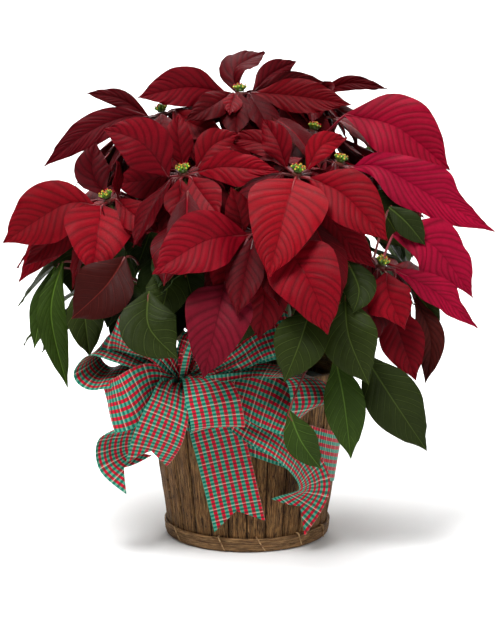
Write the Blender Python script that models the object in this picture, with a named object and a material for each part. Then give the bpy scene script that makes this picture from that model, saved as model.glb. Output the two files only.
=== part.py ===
"""A poinsettia in a bark basket, with a plaid ribbon round the basket and its bow near the rim.

Sizes are in millimetres and become metres where a mesh is made. X is to the right, Y away from the viewer
and Z up, and the origin is the middle of the basket's foot. The bracts, leaves and ribbon that show from
the front are set by hand as they look from there, with `seen`. The rest follows rules with a fixed seed.
"""

import math
import random

import bmesh
import bpy
from mathutils import Matrix, Vector
from mathutils.bvhtree import BVHTree

MM = 0.001
SEED = 12

# The viewer's place, for points given as they look from the front
VIEW_TILT = math.radians(10)
VIEW_DISTANCE = 2000.0
AIM_HEIGHT = 240.0

# Basket
WALL_HEIGHT = 176.0
WALL_FOOT_RADIUS = 79.0
WALL_RIM_RADIUS = 103.5
WALL_THICKNESS = 6.0
STAVES = 28
STAVE_GROOVE = 2.6
STAVE_BULGE = 1.6
STAVE_EDGE = 0.14
RIM_RAGGEDNESS = 2.5
HOOP_THICKNESS = 2.4
FOOT_HOOP = (1.0, 15.0)
RIM_HOOP = (156.0, 170.0)
HOOP_SIDES = 32
# Wider than the gap between flat faces, since the hoops, the floor and the wall have sides of their own
ROUND_GAP = 0.7
FLOOR_THICKNESS = 6.0
FLOOR_SIDES = 20
TIE_ANGLES = (-145, -107, -80, -51, -25, 40, 100, 160)
TIE_WIDTH = 2.2
TIE_THICKNESS = 1.4
TIE_END = 1.5
TIE_SLANT = math.radians(-5)

# Grow pot and soil
POT_HEIGHT = 148.0
POT_FOOT_RADIUS = 56.0
POT_RIM_RADIUS = 80.0
POT_WALL = 1.8
POT_LIP = 4.0
POT_LIP_HEIGHT = 10.0
POT_SIDES = 16
SOIL_BELOW_RIM = 12.0
GAP = 0.3

# Plants: heads lean outwards by HEAD_LEAN for each millimetre from the axis
CROWNS = ((-36.0, -14.0), (36.0, -20.0), (0.0, 38.0))
CROWN_RADIUS = 6.0
CROWN_DEPTH = 34.0
CROWN_RISE = 22.0
CROWN_SIDES = 8
HUB_SIDES = 6
STEM_SIDES = 5
STEM_FOOT_RADIUS = 4.6
STEM_TOP_RADIUS = 3.0
STEM_STEPS = 4
BRANCH_ROOT = 8.0
BRANCH_SPREAD = 0.32
BRANCH_RISE = 0.30
BRANCH_END = 0.34
HEAD_LEAN = 0.0032
HUB_RADIUS = 5.6
HUB_HALF_HEIGHT = 3.2
HUB_ROOT = 4.0
PETIOLE_REACH = 15.0
PETIOLE_HALF = 1.3
PETIOLE_FATNESS = 2.2
PETIOLE_LIFT = 2.0
PETIOLE_ARCH = 8.0
BRACT_FACE_LIFT = 0.25
LEAF_FACE_LIFT = 0.3
BLADE_THICKNESS = 0.9
FOLD = math.radians(13)
CLEARANCE = 0.35
BEADS = 6
BEAD_RADIUS = 2.5
BEAD_SIDES = 4
BEAD_RING = 4.6
CUP_HEIGHT = 4.0
CUP_RADIUS = 5.1
BEAD_RISE = 0.6
MIDDLE_BEAD_RISE = 1.2

# Ribbon
RIBBON_WIDTH = 51.0
RIBBON_THICKNESS = 1.0
KNOT_ANGLE = math.radians(-122)
KNOT_HEIGHT = 172.0
KNOT_RADIUS = 9.5
KNOT_HALF_HEIGHT = 11.0
KNOT_SIDES = 8
KNOT_END = 0.6
KNOT_FULL = 0.7
# How far from the knot's middle a loop's two ends lie, and how much of a strip's skew is taken out
LOOP_SPREAD = 4.0
SQUARED = 0.5
PINCH = 0.14
BAND_LOW_ANGLE = math.radians(20)
BAND_MIDDLE = 115.0
BAND_SWING = 40.0
BAND_SIDES = 24
NOTCH = 16.0

# A blade's half widths, left and right, by the share of its length: 1 is its full half width
OVAL = ((0.12, 0.36, 0.36), (0.31, 0.9, 0.9), (0.54, 1.0, 1.0), (0.79, 0.56, 0.56), (1.0, 0, 0))
PLAIN_OVAL = ((0.2, 0.58, 0.58), (0.48, 1.0, 1.0), (0.78, 0.6, 0.6), (1.0, 0, 0))
LOBED = ((0.14, 0.5, 0.45), (0.36, 0.95, 1.0), (0.56, 1.12, 0.82), (0.7, 0.56, 0.74), (1.0, 0, 0))
RIGHT_LOBED = ((0.14, 0.45, 0.5), (0.36, 1.0, 0.95), (0.56, 0.82, 1.12), (0.7, 0.74, 0.56), (1.0, 0, 0))
HEART = ((0.08, 0.62, 0.62), (0.27, 1.0, 1.0), (0.52, 0.84, 0.84), (0.8, 0.44, 0.44), (1.0, 0, 0))

# Heads, as seen from the front: across, up, depth behind the axis
HEADS = {
    "01": (-7, 434, 15),
    "02": (-63, 354, -82),
    "03": (50, 354, -100),
    "04": (-138, 328, -62),
    "05": (133, 262, -88),
    "06": (92, 364, -18),
    "07": (66, 396, 34),
    "08": (12, 296, -122),
    "09": (58, 432, 92),
    "10": (-84, 414, 0),
    "11": (-98, 392, 92),
    "12": (-4, 386, 152),
    "13": (122, 372, 112),
    "14": (-150, 322, 36),
}

# Bracts that show, head by head: the end of a long petiole, or None for the usual short one, then points of
# the midrib as (across, up, depth), the half width, the roll in degrees and the outline. Roll brings the
# blade's right edge towards the viewer.
SHOWN_BRACTS = {
    "01": (
        (None, ((-60, 442, 0), (-110, 431, -22)), 20, 0, OVAL),
        (None, ((-12, 461, 42), (19, 477, 72)), 17, -30, OVAL),
        (None, ((24, 455, 34), (50, 468, 52)), 12, 10, OVAL),
        (None, ((50, 433, -4), (105, 424, -28)), 17, 0, OVAL),
        (None, ((-14, 428, -10), (-18, 414, -30)), 10, 0, PLAIN_OVAL),
        (None, ((40, 448, 34), (78, 447, 50)), 10, 20, PLAIN_OVAL),
        (None, ((-34, 424, -24), (-62, 408, -34)), 14, 0, PLAIN_OVAL),
    ),
    "02": (
        (None, ((-105, 386, -92), (-144, 400, -88)), 24, -8, OVAL),
        (None, ((-69, 392, -70), (-68, 416, -58)), 14, 15, OVAL),
        (None, ((-22, 362, -98), (33, 357, -108)), 16, 10, RIGHT_LOBED),
        (None, ((-67, 328, -108), (-70, 304, -128)), 15, 0, OVAL),
        (None, ((-44, 334, -112), (-27, 312, -136)), 17, 0, OVAL),
        (None, ((-95, 350, -66), (-133, 345, -50)), 18, 0, OVAL),
        (None, ((-34, 384, -70), (-8, 396, -58)), 15, 0, OVAL),
    ),
    "03": (
        (None, ((31, 386, -88), (15, 411, -72)), 14, -20, OVAL),
        (None, ((75, 384, -84), (101, 391, -72)), 12, 0, OVAL),
        (None, ((98, 334, -132), (141, 288, -152)), 25, 0, OVAL),
        (None, ((36, 308, -158), (21, 250, -184)), 37, 0, HEART),
        (None, ((92, 299, -112), (128, 261, -120)), 22, 0, OVAL),
        (None, ((13, 386, -76), (-24, 391, -64)), 12, 0, PLAIN_OVAL),
    ),
    "04": (
        (None, ((-184, 324, -64), (-244, 286, -66)), 29, 0, OVAL),
        (None, ((-180, 302, -48), (-223, 263, -44)), 18, 0, OVAL),
        (None, ((-200, 284, -26), (-229, 246, -20)), 18, 0, OVAL),
        (None, ((-150, 290, -98), (-155, 254, -112)), 33, 0, HEART),
        (None, ((-155, 358, -40), (-151, 388, -30)), 17, 0, OVAL),
        (None, ((-130, 350, -84), (-130, 369, -90)), 11, 66, PLAIN_OVAL),
        (None, ((-110, 312, -86), (-88, 296, -104)), 16, 0, PLAIN_OVAL),
    ),
    "05": (
        (None, ((142, 234, -116), (158, 199, -124)), 21, 0, RIGHT_LOBED),
        ((142, 226, -84), ((156, 186, -96), (169, 148, -104)), 21, 0, OVAL),
        ((168, 232, -70), ((184, 190, -80), (178, 145, -82)), 13, 0, OVAL),
        (None, ((188, 238, -82), (232, 200, -84)), 14, 0, LOBED),
        ((146, 294, -62), ((186, 284, -66), (226, 231, -66)), 26, 0, RIGHT_LOBED),
    ),
    "06": (
        (None, ((134, 362, -34), (184, 334, -44), (249, 297, -50)), 25, 0, LOBED),
        (None, ((112, 342, -50), (128, 316, -62)), 13, 0, PLAIN_OVAL),
    ),
    "07": (
        ((98, 414, 14), ((150, 402, -2), (203, 359, -12)), 32, 0, OVAL),
    ),
    "08": (
        (None, ((-42, 288, -160), (-95, 255, -184)), 29, 0, OVAL),
        (None, ((-16, 262, -142), (-30, 233, -152)), 22, 0, PLAIN_OVAL),
        (None, ((-10, 324, -128), (-16, 342, -124)), 13, 0, PLAIN_OVAL),
        ((-22, 246, -146), ((-32, 200, -166), (-44, 150, -168)), 31, 0, HEART),
        ((40, 284, -150), ((66, 240, -176), (81, 194, -184)), 33, 0, HEART),
        ((14, 268, -138), ((17, 228, -152), (11, 190, -156)), 26, 0, HEART),
    ),
    "09": (
        (None, ((102, 446, 60), (141, 440, 40)), 8, 0, PLAIN_OVAL),
        (None, ((82, 440, 56), (82, 428, 36)), 9, 50, PLAIN_OVAL),
    ),
    "10": (
        (None, ((-126, 430, 2), (-161, 436, 4)), 9, 0, PLAIN_OVAL),
        (None, ((-122, 412, -14), (-160, 396, -22), (-204, 362, -26)), 15, 0, OVAL),
        (None, ((-52, 404, -16), (-24, 398, -24)), 15, 0, PLAIN_OVAL),
    ),
}

# Bracts that the front view hides: directions round the head in degrees, from the right and away
HIDDEN_BRACTS = {
    "01": (60, 120),
    "02": (50, 95, 140),
    "03": (60, 110),
    "04": (60, 110, 150),
    "05": (20, 60, 110),
    "06": (20, 75, 130),
    "07": (40, 95, 150),
    "08": (50, 110),
    "09": (20, 70, 120, 170),
    "10": (60, 110, 160),
    "11": (20, 70, 115, 160, 205, 330),
    "12": (0, 48, 90, 132, 180, 270),
    "13": (0, 45, 90, 135, 320),
    "14": (70, 115, 160, 205, 20),
}
HIDDEN_LENGTH = (66.0, 88.0)
HIDDEN_HALF = (17.0, 23.0)
HIDDEN_DIP = (8.0, 26.0)
HIDDEN_DROOP = 0.16

# Leaves that show: the head whose branch carries the leaf, the share of the branch's length at its petiole,
# the midrib's points from the blade's start to its tip, the half width, the roll and the outline
SHOWN_LEAVES = (
    ("04", 0.62, ((-122, 272, -100), (-142, 242, -116), (-176, 210, -116)), 27, 0, OVAL),
    ("04", 0.55, ((-184, 268, -52), (-196, 215, -66), (-179, 140, -70)), 14, 0, OVAL),
    ("04", 0.50, ((-192, 262, -30), (-204, 225, -36), (-213, 180, -40)), 12, 0, PLAIN_OVAL),
    ("04", 0.45, ((-160, 250, -70), (-162, 215, -84), (-157, 172, -80)), 18, 0, PLAIN_OVAL),
    ("02", 0.52, ((-98, 238, -124), (-98, 202, -142), (-69, 170, -148)), 27, 0, OVAL),
    ("02", 0.60, ((-84, 266, -110), (-80, 238, -128), (-92, 206, -136)), 20, 0, PLAIN_OVAL),
    ("08", 0.62, ((64, 222, -140), (52, 184, -160), (37, 147, -162)), 24, 0, OVAL),
    ("03", 0.55, ((98, 236, -120), (102, 192, -142), (122, 144, -146)), 26, 0, OVAL),
    ("03", 0.62, ((100, 268, -106), (112, 240, -120), (106, 216, -130)), 17, 0, PLAIN_OVAL),
    ("08", 0.45, ((88, 172, -116), (97, 128, -126), (104, 70, -122)), 19, 0, OVAL),
    ("05", 0.55, ((116, 176, -96), (144, 132, -108), (180, 78, -106)), 26, 0, OVAL),
    ("05", 0.40, ((42, 118, -112), (54, 88, -116), (74, 60, -110)), 15, 0, OVAL),
    ("05", 0.75, ((142, 322, -56), (160, 306, -62), (178, 284, -62)), 13, 0, PLAIN_OVAL),
    ("05", 0.66, ((164, 240, -56), (180, 222, -60), (191, 199, -60)), 11, 0, PLAIN_OVAL),
    ("02", 0.74, ((-80, 340, -56), (-94, 304, -64), (-112, 256, -66)), 28, 0, PLAIN_OVAL),
    ("02", 0.66, ((-66, 300, -70), (-62, 262, -84), (-52, 222, -92)), 27, 0, PLAIN_OVAL),
    ("08", 0.70, ((2, 250, -90), (-4, 220, -104), (-8, 184, -108)), 25, 0, PLAIN_OVAL),
    ("03", 0.70, ((72, 306, -62), (80, 268, -74), (84, 232, -78)), 25, 0, PLAIN_OVAL),
    ("06", 0.70, ((118, 340, -24), (140, 312, -30), (158, 280, -30)), 25, 0, PLAIN_OVAL),
    ("04", 0.70, ((-150, 296, -30), (-170, 270, -36), (-176, 236, -40)), 24, 0, PLAIN_OVAL),
    ("01", 0.72, ((-20, 396, -6), (-30, 366, -16), (-24, 330, -24)), 26, 0, PLAIN_OVAL),
    ("07", 0.72, ((40, 384, 2), (24, 356, -10), (22, 322, -18)), 25, 0, PLAIN_OVAL),
    ("09", 0.72, ((34, 424, 64), (56, 396, 56), (70, 356, 50)), 28, 0, PLAIN_OVAL),
)

# Leaves that the front view hides: their directions and the share of the branch at the petiole
HIDDEN_LEAVES = {
    "01": ((95, 0.75),),
    "06": ((20, 0.6), (340, 0.45)),
    "07": ((50, 0.62),),
    "09": ((70, 0.6), (100, 0.8)),
    "10": ((150, 0.7),),
    "11": ((110, 0.5), (150, 0.66), (185, 0.45)),
    "12": ((60, 0.5), (90, 0.68), (120, 0.45), (75, 0.16)),
    "13": ((10, 0.5), (45, 0.66), (350, 0.4)),
    "14": ((130, 0.45), (165, 0.55), (200, 0.5), (185, 0.72)),
}
HIDDEN_LEAF_LENGTH = (76.0, 98.0)
HIDDEN_LEAF_HALF = (21.0, 27.0)
HIDDEN_PETIOLE_OUT = 37.8
HIDDEN_PETIOLE_UP = 12.6
HIDDEN_LEAF_DIP = 28.0
HIDDEN_LEAF_DROOP = 0.24

# The bow's loops and tails after the knot: stations of (across, up, depth), the way that the width runs
# there as (across, up, depth), and the share of the full width. A loop comes back to the knot.
RIBBON_LOOPS = {
    "loop_a": (
        ((-90, 178, -120), (0.4, 0.7, -0.5), 0.6),
        ((-116, 188, -128), (0.37, 0.6, -0.7), 0.95),
        ((-134, 196, -118), (0.37, 0.55, -0.72), 1.0),
        ((-122, 190, -108), (0.37, 0.6, -0.7), 0.9),
    ),
    "loop_b": (
        ((-122, 154, -102), (0.35, 0.4, 0.8), 0.75),
        ((-147, 152, -96), (0.41, 0.3, 0.86), 0.9),
        ((-159, 165, -94), (0.41, 0.27, 0.86), 1.0),
        ((-146, 183, -96), (0.41, 0.27, 0.86), 0.95),
        ((-122, 178, -100), (0.35, 0.4, 0.8), 0.8),
    ),
    "loop_c": (
        ((-94, 146, -120), (-0.15, 0.97, 0.1), 0.75),
        ((-119, 128, -129), (-0.25, 0.95, 0.1), 1.0),
        ((-138, 122, -118), (-0.2, 0.8, 0.5), 0.95),
        ((-124, 129, -106), (-0.15, 0.85, 0.5), 0.85),
    ),
    "loop_f": (
        ((-45, 151, -122), (1, 0.04, 0), 0.74),
        ((-34, 128, -139), (1, 0.08, 0), 1.0),
        ((-29, 102, -134), (1, 0.08, 0), 1.0),
        ((-36, 110, -112), (1, 0.1, 0), 0.85),
    ),
    "loop_h": (
        ((-64, 178, -116), (0.4, 0, -0.9), 0.5),
        ((-56, 194, -112), (0.5, 0, -0.86), 0.56),
        ((-50, 176, -106), (0.4, 0, -0.9), 0.45),
    ),
    "loop_j": (
        ((-14, 139, -116), (0.3, 0.9, 0.3), 0.75),
        ((20, 127, -114), (0.25, 0.85, 0.45), 1.0),
        ((48, 113, -114), (0.5, 0.5, 0.7), 1.0),
        ((60, 118, -118), (0.7, 0.25, 0.66), 1.0),
        ((67, 130, -119), (0.83, 0, 0.55), 1.0),
        ((56, 150, -108), (0.8, -0.3, 0.5), 0.95),
        ((16, 160, -120), (0.4, 0.1, 0.8), 0.7),
        ((-26, 156, -119), (0.2, 0.4, 0.85), 0.46),
    ),
    "loop_k": (
        ((-16, 170, -120), (-0.45, 0.75, 0.4), 0.58),
        ((14, 190, -121), (-0.3, 0.75, 0.6), 0.85),
        ((44, 197, -110), (-0.2, 0.75, 0.6), 0.9),
        ((16, 182, -104), (-0.2, 0.8, 0.5), 0.6),
    ),
}
RIBBON_TAILS = {
    "tail_d": (
        ((-72, 144, -124), (0.9, -0.35, 0), 0.55),
        ((-78, 121, -137), (0.85, -0.5, 0.1), 0.8),
        ((-88, 94, -134), (0.8, -0.5, 0.3), 0.95),
        ((-101, 65, -122), (0.65, -0.35, 0.68), 1.0),
    ),
    "tail_e": (
        ((-112, 116, -104), (0.6, 0.7, 0.3), 0.7),
        ((-131, 92, -98), (0.9, 0.25, 0.35), 0.75),
        ((-130, 68, -94), (0.85, 0.2, 0.5), 0.8),
        ((-108, 54, -94), (0.6, 0.65, 0.45), 0.9),
    ),
    "tail_g": (
        ((-42, 116, -104), (1, 0.15, 0), 0.7),
        ((-29, 92, -101), (0.98, 0.18, 0), 1.0),
        ((-7, 3, -90), (0.97, 0.22, 0), 1.0),
    ),
    "tail_l": (
        ((-8, 112, -113), (0.4, 0.85, 0.2), 0.6),
        ((32, 89, -113), (0.4, 0.6, 0.68), 0.8),
        ((59, 63, -100), (0.55, 0.4, 0.72), 0.8),
        ((66, 38, -90), (0.85, -0.15, 0.5), 0.75),
        ((41, 12, -88), (0.56, -0.8, 0.1), 1.0),
    ),
}

COLOURS = {
    "bracts": ((0.42, 0.02, 0.035, 1), 0.55),
    "cyathia": ((0.35, 0.38, 0.06, 1), 0.5),
    "plant": ((0.045, 0.10, 0.03, 1), 0.5),
    "bark": ((0.13, 0.06, 0.03, 1), 0.9),
    "wood": ((0.30, 0.17, 0.08, 1), 0.8),
    "wire": ((0.45, 0.28, 0.12, 1), 0.6),
    "plastic": ((0.02, 0.05, 0.025, 1), 0.45),
    "soil": ((0.03, 0.018, 0.01, 1), 0.95),
    "ribbon": ((0.36, 0.03, 0.06, 1), 0.5),
}


def material(name):
    """The named Principled material, made the first time it is asked for."""
    found = bpy.data.materials.get(name)
    if found:
        return found
    colour, roughness = COLOURS[name]
    made = bpy.data.materials.new(name)
    made.use_nodes = True
    shader = made.node_tree.nodes["Principled BSDF"]
    shader.inputs["Base Color"].default_value = colour
    shader.inputs["Roughness"].default_value = roughness
    shader.inputs["Metallic"].default_value = 0.0
    made.diffuse_color = colour
    return made


def new_object(name, verts, faces, look, smooth=True):
    """A mesh object from points in millimetres, with its faces turned outwards."""
    mesh = bpy.data.meshes.new(name)
    mesh.from_pydata([Vector(v) * MM for v in verts], [], faces)
    work = bmesh.new()
    work.from_mesh(mesh)
    bmesh.ops.recalc_face_normals(work, faces=work.faces)
    work.to_mesh(mesh)
    work.free()
    if smooth:
        mesh.shade_smooth()
        mesh.set_sharp_from_angle(angle=math.radians(40))
    mesh.materials.append(material(look))
    made = bpy.data.objects.new(name, mesh)
    bpy.context.scene.collection.objects.link(made)
    return made


# Seen points


def viewer():
    """The viewer's eye."""
    rise = AIM_HEIGHT + VIEW_DISTANCE * math.sin(VIEW_TILT)
    return Vector((0, -VIEW_DISTANCE * math.cos(VIEW_TILT), rise))


def seen(across, up, depth):
    """The point at this depth that looks so far right of the axis and above the foot's middle."""
    eye = viewer()
    foot = AIM_HEIGHT * math.cos(VIEW_TILT)
    foot *= VIEW_DISTANCE / (VIEW_DISTANCE + AIM_HEIGHT * math.sin(VIEW_TILT))
    height = up - foot
    mark = Vector((across, height * math.sin(VIEW_TILT), AIM_HEIGHT + height * math.cos(VIEW_TILT)))
    ray = mark - eye
    return eye + ray * ((depth - eye.y) / ray.y)


def to_viewer(point):
    """The direction from a point to the viewer."""
    return (viewer() - point).normalized()


# Smooth lines


def smooth_line(points, steps=12):
    """Points along a smooth curve through the given ones."""
    line = []
    for i in range(len(points) - 1):
        a = points[max(i - 1, 0)]
        b = points[i]
        c = points[i + 1]
        d = points[min(i + 2, len(points) - 1)]
        for k in range(steps):
            t = k / steps
            flat = (c - a) * t
            square = (2 * a - 5 * b + 4 * c - d) * t * t
            cube = (3 * b - a - 3 * c + d) * t**3
            line.append(b + 0.5 * (flat + square + cube))
    line.append(points[-1].copy())
    return line


def spots(line, shares):
    """Point and direction at each share of a line's length."""
    lengths = [0.0]
    for a, b in zip(line, line[1:]):
        lengths.append(lengths[-1] + (b - a).length)
    found = []
    for share in shares:
        goal = share * lengths[-1]
        i = 0
        while i < len(line) - 2 and lengths[i + 1] < goal:
            i += 1
        part = (goal - lengths[i]) / max(lengths[i + 1] - lengths[i], 1e-6)
        found.append((line[i].lerp(line[i + 1], part), (line[i + 1] - line[i]).normalized()))
    return found


# Blades


def blade(petiole, lamina, half, outline, face, roll, grow=0.0):
    """Points and triangles of a closed blade: a petiole, then a lamina line with a folded outline.

    petiole holds the petiole's points, and the last of them has a ring of its own where there are more than
    two. face is the way that the blade's upper side looks, before it rolls round its midrib.
    """
    stations = []
    ends = (0.0,) if len(petiole) == 2 else (0.0, 1.0)
    for point, along in spots(smooth_line(petiole), ends):
        stations.append((point, along, PETIOLE_HALF, PETIOLE_HALF, 0))
    for (share, left, right), (point, along) in zip(outline, spots(lamina, [o[0] for o in outline])):
        stations.append((point, along, left * half, right * half, math.tan(FOLD)))
    thick = BLADE_THICKNESS / 2 + grow
    verts = []
    faces = []
    for i, (point, along, left, right, rise) in enumerate(stations):
        up = (face - along * face.dot(along)).normalized()
        up = Matrix.Rotation(roll, 3, along) @ up
        side = along.cross(up)
        if i == len(stations) - 1:
            verts += [point + along * grow + up * thick, point + along * grow - up * thick]
            break
        fat = thick if rise else thick * PETIOLE_FATNESS
        left_edge = point - side * (left + grow) + up * left * rise
        right_edge = point + side * (right + grow) + up * right * rise
        verts += [left_edge + up * fat, point + up * fat, right_edge + up * fat]
        verts += [right_edge - up * fat, point - up * fat, left_edge - up * fat]
    faces += [(0, 1, 4), (0, 4, 5), (1, 2, 3), (1, 3, 4)]
    rings = len(stations) - 1
    for i in range(rings - 1):
        a = 6 * i
        b = a + 6
        faces += [(a, a + 1, b + 1), (a, b + 1, b), (a + 5, b + 4, a + 4), (a + 5, b + 5, b + 4)]
        faces += [(a + 1, a + 2, b + 1), (a + 2, b + 2, b + 1)]
        faces += [(a + 3, a + 4, b + 4), (a + 3, b + 4, b + 3)]
        faces += [(a, b, b + 5), (a, b + 5, a + 5), (a + 2, a + 3, b + 3), (a + 2, b + 3, b + 2)]
    a = 6 * (rings - 1)
    top = 6 * rings
    faces += [(a, a + 1, top), (a + 1, a + 2, top), (a + 3, a + 4, top + 1), (a + 4, a + 5, top + 1)]
    faces += [(a, top, top + 1), (a, top + 1, a + 5), (a + 2, a + 3, top + 1), (a + 2, top + 1, top)]
    return verts, faces


def lamina_only(verts, faces):
    """A blade without its petiole's first rings, where blades of one head may meet."""
    first = 12
    return verts[first:], [tuple(v - first for v in f) for f in faces if min(f) >= first]


class Room:
    """What is already placed, by node, for keeping later pieces clear of the other nodes."""

    def __init__(self):
        self.shapes = {}
        self.blades = {}

    def add(self, node, verts, faces, is_blade=False):
        """Take in a piece of a node."""
        self.shapes.setdefault(node, []).append((verts, faces))
        if is_blade:
            self.blades.setdefault(node, []).append(lamina_only(verts, faces))

    def tree(self, node, own_blades):
        """A search tree of every other node, with the node's own blades where they count too."""
        verts = []
        faces = []
        groups = [pieces for name, pieces in self.shapes.items() if name != node]
        if own_blades:
            groups.append(self.blades.get(node, []))
        for pieces in groups:
            for piece_verts, piece_faces in pieces:
                start = len(verts)
                verts += piece_verts
                faces += [tuple(start + v for v in f) for f in piece_faces]
        return BVHTree.FromPolygons(verts, faces) if faces else None


def clear_of(tree, verts, faces):
    """Whether a piece crosses nothing in the tree."""
    return tree is None or not tree.overlap(BVHTree.FromPolygons(verts, faces))


def place_blade(room, node, tries):
    """Add the first of the tries that crosses no other node, and the node's own blades if that can be."""
    others = room.tree(node, False)
    everything = room.tree(node, True)
    for own_blades in (True, False):
        for settings in tries:
            grown = blade(**settings, grow=CLEARANCE)
            if not clear_of(others, *grown):
                continue
            if own_blades and not clear_of(everything, *lamina_only(*grown)):
                continue
            verts, faces = blade(**settings)
            room.add(node, verts, faces, True)
            return settings
    return None


# Frames of the heads and branches


def head_place(name):
    """The middle of a head's hub and the way its blossom faces."""
    middle = seen(*HEADS[name])
    out = Vector((middle.x, middle.y, 0)) * HEAD_LEAN
    return middle, (out + Vector((0, 0, 1))).normalized()


def crown_of(name):
    """The index of the plant that carries a head: the one whose foot is nearest."""
    below = head_place(name)[0].xy * 0.4
    return min(range(len(CROWNS)), key=lambda i: (Vector(CROWNS[i]) - below).length)


def soil_top():
    """The height of the soil's surface."""
    return FLOOR_THICKNESS + GAP + POT_HEIGHT - SOIL_BELOW_RIM


def branch_line(name):
    """The middle line of the branch that carries a head."""
    middle, facing = head_place(name)
    top = middle - facing * (HUB_HALF_HEIGHT + GAP)
    x, y = CROWNS[crown_of(name)]
    foot = Vector((x, y, soil_top() + CROWN_RISE - BRANCH_ROOT))
    spread = Vector((top.x - x, top.y - y, 0)) * BRANCH_SPREAD
    rise = Vector((0, 0, top.z - foot.z)) * BRANCH_RISE
    end = facing * (top - foot).length * BRANCH_END
    return smooth_line([foot, foot + spread + rise, top - end, top])


def tube(line, steps, sides, foot_radius, top_radius):
    """Points and faces of a round tube along a line."""
    verts = []
    faces = []
    across = Vector((0, 1, 0))
    stations = spots(line, [i / steps for i in range(steps + 1)])
    for i, (point, along) in enumerate(stations):
        side = (across - along * across.dot(along)).normalized()
        other = along.cross(side)
        radius = foot_radius + (top_radius - foot_radius) * i / steps
        for k in range(sides):
            turn = 2 * math.pi * k / sides
            verts.append(point + (side * math.cos(turn) + other * math.sin(turn)) * radius)
    for i in range(steps):
        for k in range(sides):
            a = i * sides + k
            b = i * sides + (k + 1) % sides
            faces.append((a, b, b + sides, a + sides))
    faces.append(tuple(reversed(range(sides))))
    faces.append(tuple(range(steps * sides, (steps + 1) * sides)))
    return verts, faces


def turned_frame(facing):
    """Two directions at right angles to the one given."""
    side = Vector((1, 0, 0))
    side = (side - facing * side.dot(facing)).normalized()
    return side, facing.cross(side)


def shown_tries(head, row):
    """The ways to try a bract that shows: as drawn, then nearer or further along the view, then rolled."""
    petiole_end, points, half, roll, outline = row
    middle, facing = head_place(head)
    tries = []
    for turn in (0, 12, -12, 24, -24):
        for swing in (0, -8, 8, -16, 16, -26, 26, -38, 38, -52, 52):
            line = []
            for i, (across, up, depth) in enumerate(points):
                line.append(seen(across, up, depth + swing * (i + 1) / len(points)))
            first = (seen(*petiole_end) if petiole_end else line[0]) - middle
            flat = (first - facing * first.dot(facing)).normalized()
            start = middle + flat * PETIOLE_REACH + facing * PETIOLE_LIFT
            petiole = [middle + flat * HUB_ROOT, start]
            if petiole_end:
                across, up, depth = petiole_end
                start = seen(across, up, depth + swing / (len(points) + 1))
                petiole = [petiole[0], petiole[1], start]
            tries.append({
                "petiole": petiole,
                "lamina": smooth_line([start] + line),
                "half": half,
                "outline": outline,
                "face": (to_viewer(line[0]) + Vector((0, 0, BRACT_FACE_LIFT))).normalized(),
                "roll": math.radians(roll + turn),
            })
    return tries


def hidden_tries(head, bearing, length, half, dip):
    """The ways to try a bract that the front view hides: by its bearing, then steeper or turned."""
    middle, facing = head_place(head)
    tries = []
    for lower in (0, 12, -12, 24, -22, 36):
        for turn in (0, 10, -10, 20, -20):
            angle = math.radians(bearing + turn)
            out = Vector((math.cos(angle), math.sin(angle), 0))
            flat = (out - facing * out.dot(facing)).normalized()
            start = middle + flat * PETIOLE_REACH + facing * PETIOLE_LIFT
            slope = math.radians(dip + lower)
            way = flat * math.cos(slope) - Vector((0, 0, 1)) * math.sin(slope)
            drop = Vector((0, 0, -1)) * length * HIDDEN_DROOP
            line = [start, start + way * length * 0.5, start + way * length + drop]
            tries.append({
                "petiole": [middle + flat * HUB_ROOT, start],
                "lamina": smooth_line(line),
                "half": half,
                "outline": PLAIN_OVAL,
                "face": facing,
                "roll": 0.0,
            })
    return tries


def leaf_tries(row):
    """The ways to try a leaf that shows."""
    head, share, points, half, roll, outline = row
    root = spots(branch_line(head), (share,))[0][0]
    tries = []
    for turn in (0, 14, -14):
        for swing in (0, -8, 8, -16, 16, -26, 26, -40, 40, -56, 56):
            line = [seen(a, u, d + swing) for a, u, d in points]
            bend = root.lerp(line[0], 0.5) + Vector((0, 0, PETIOLE_ARCH))
            tries.append({
                "petiole": [root, bend, line[0]],
                "lamina": smooth_line(line),
                "half": half,
                "outline": outline,
                "face": (to_viewer(line[1]) + Vector((0, 0, LEAF_FACE_LIFT))).normalized(),
                "roll": math.radians(roll + turn),
            })
    return tries


def hidden_leaf_tries(head, bearing, share, length, half):
    """The ways to try a leaf that the front view hides."""
    root = spots(branch_line(head), (share,))[0][0]
    tries = []
    for lower in (0, 10, -10, 22, 34):
        for turn in (0, 12, -12, 24, -24):
            angle = math.radians(bearing + turn)
            out = Vector((math.cos(angle), math.sin(angle), 0))
            start = root + out * HIDDEN_PETIOLE_OUT + Vector((0, 0, HIDDEN_PETIOLE_UP))
            slope = math.radians(HIDDEN_LEAF_DIP + lower)
            way = out * math.cos(slope) - Vector((0, 0, 1)) * math.sin(slope)
            drop = Vector((0, 0, -1)) * length * HIDDEN_LEAF_DROOP
            tries.append({
                "petiole": [root, root.lerp(start, 0.5) + Vector((0, 0, PETIOLE_ARCH / 2)), start],
                "lamina": smooth_line([start, start + way * length * 0.5, start + way * length + drop]),
                "half": half,
                "outline": PLAIN_OVAL,
                "face": (out * 0.5 + Vector((0, 0, 1))).normalized(),
                "roll": 0.0,
            })
    return tries


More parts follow.
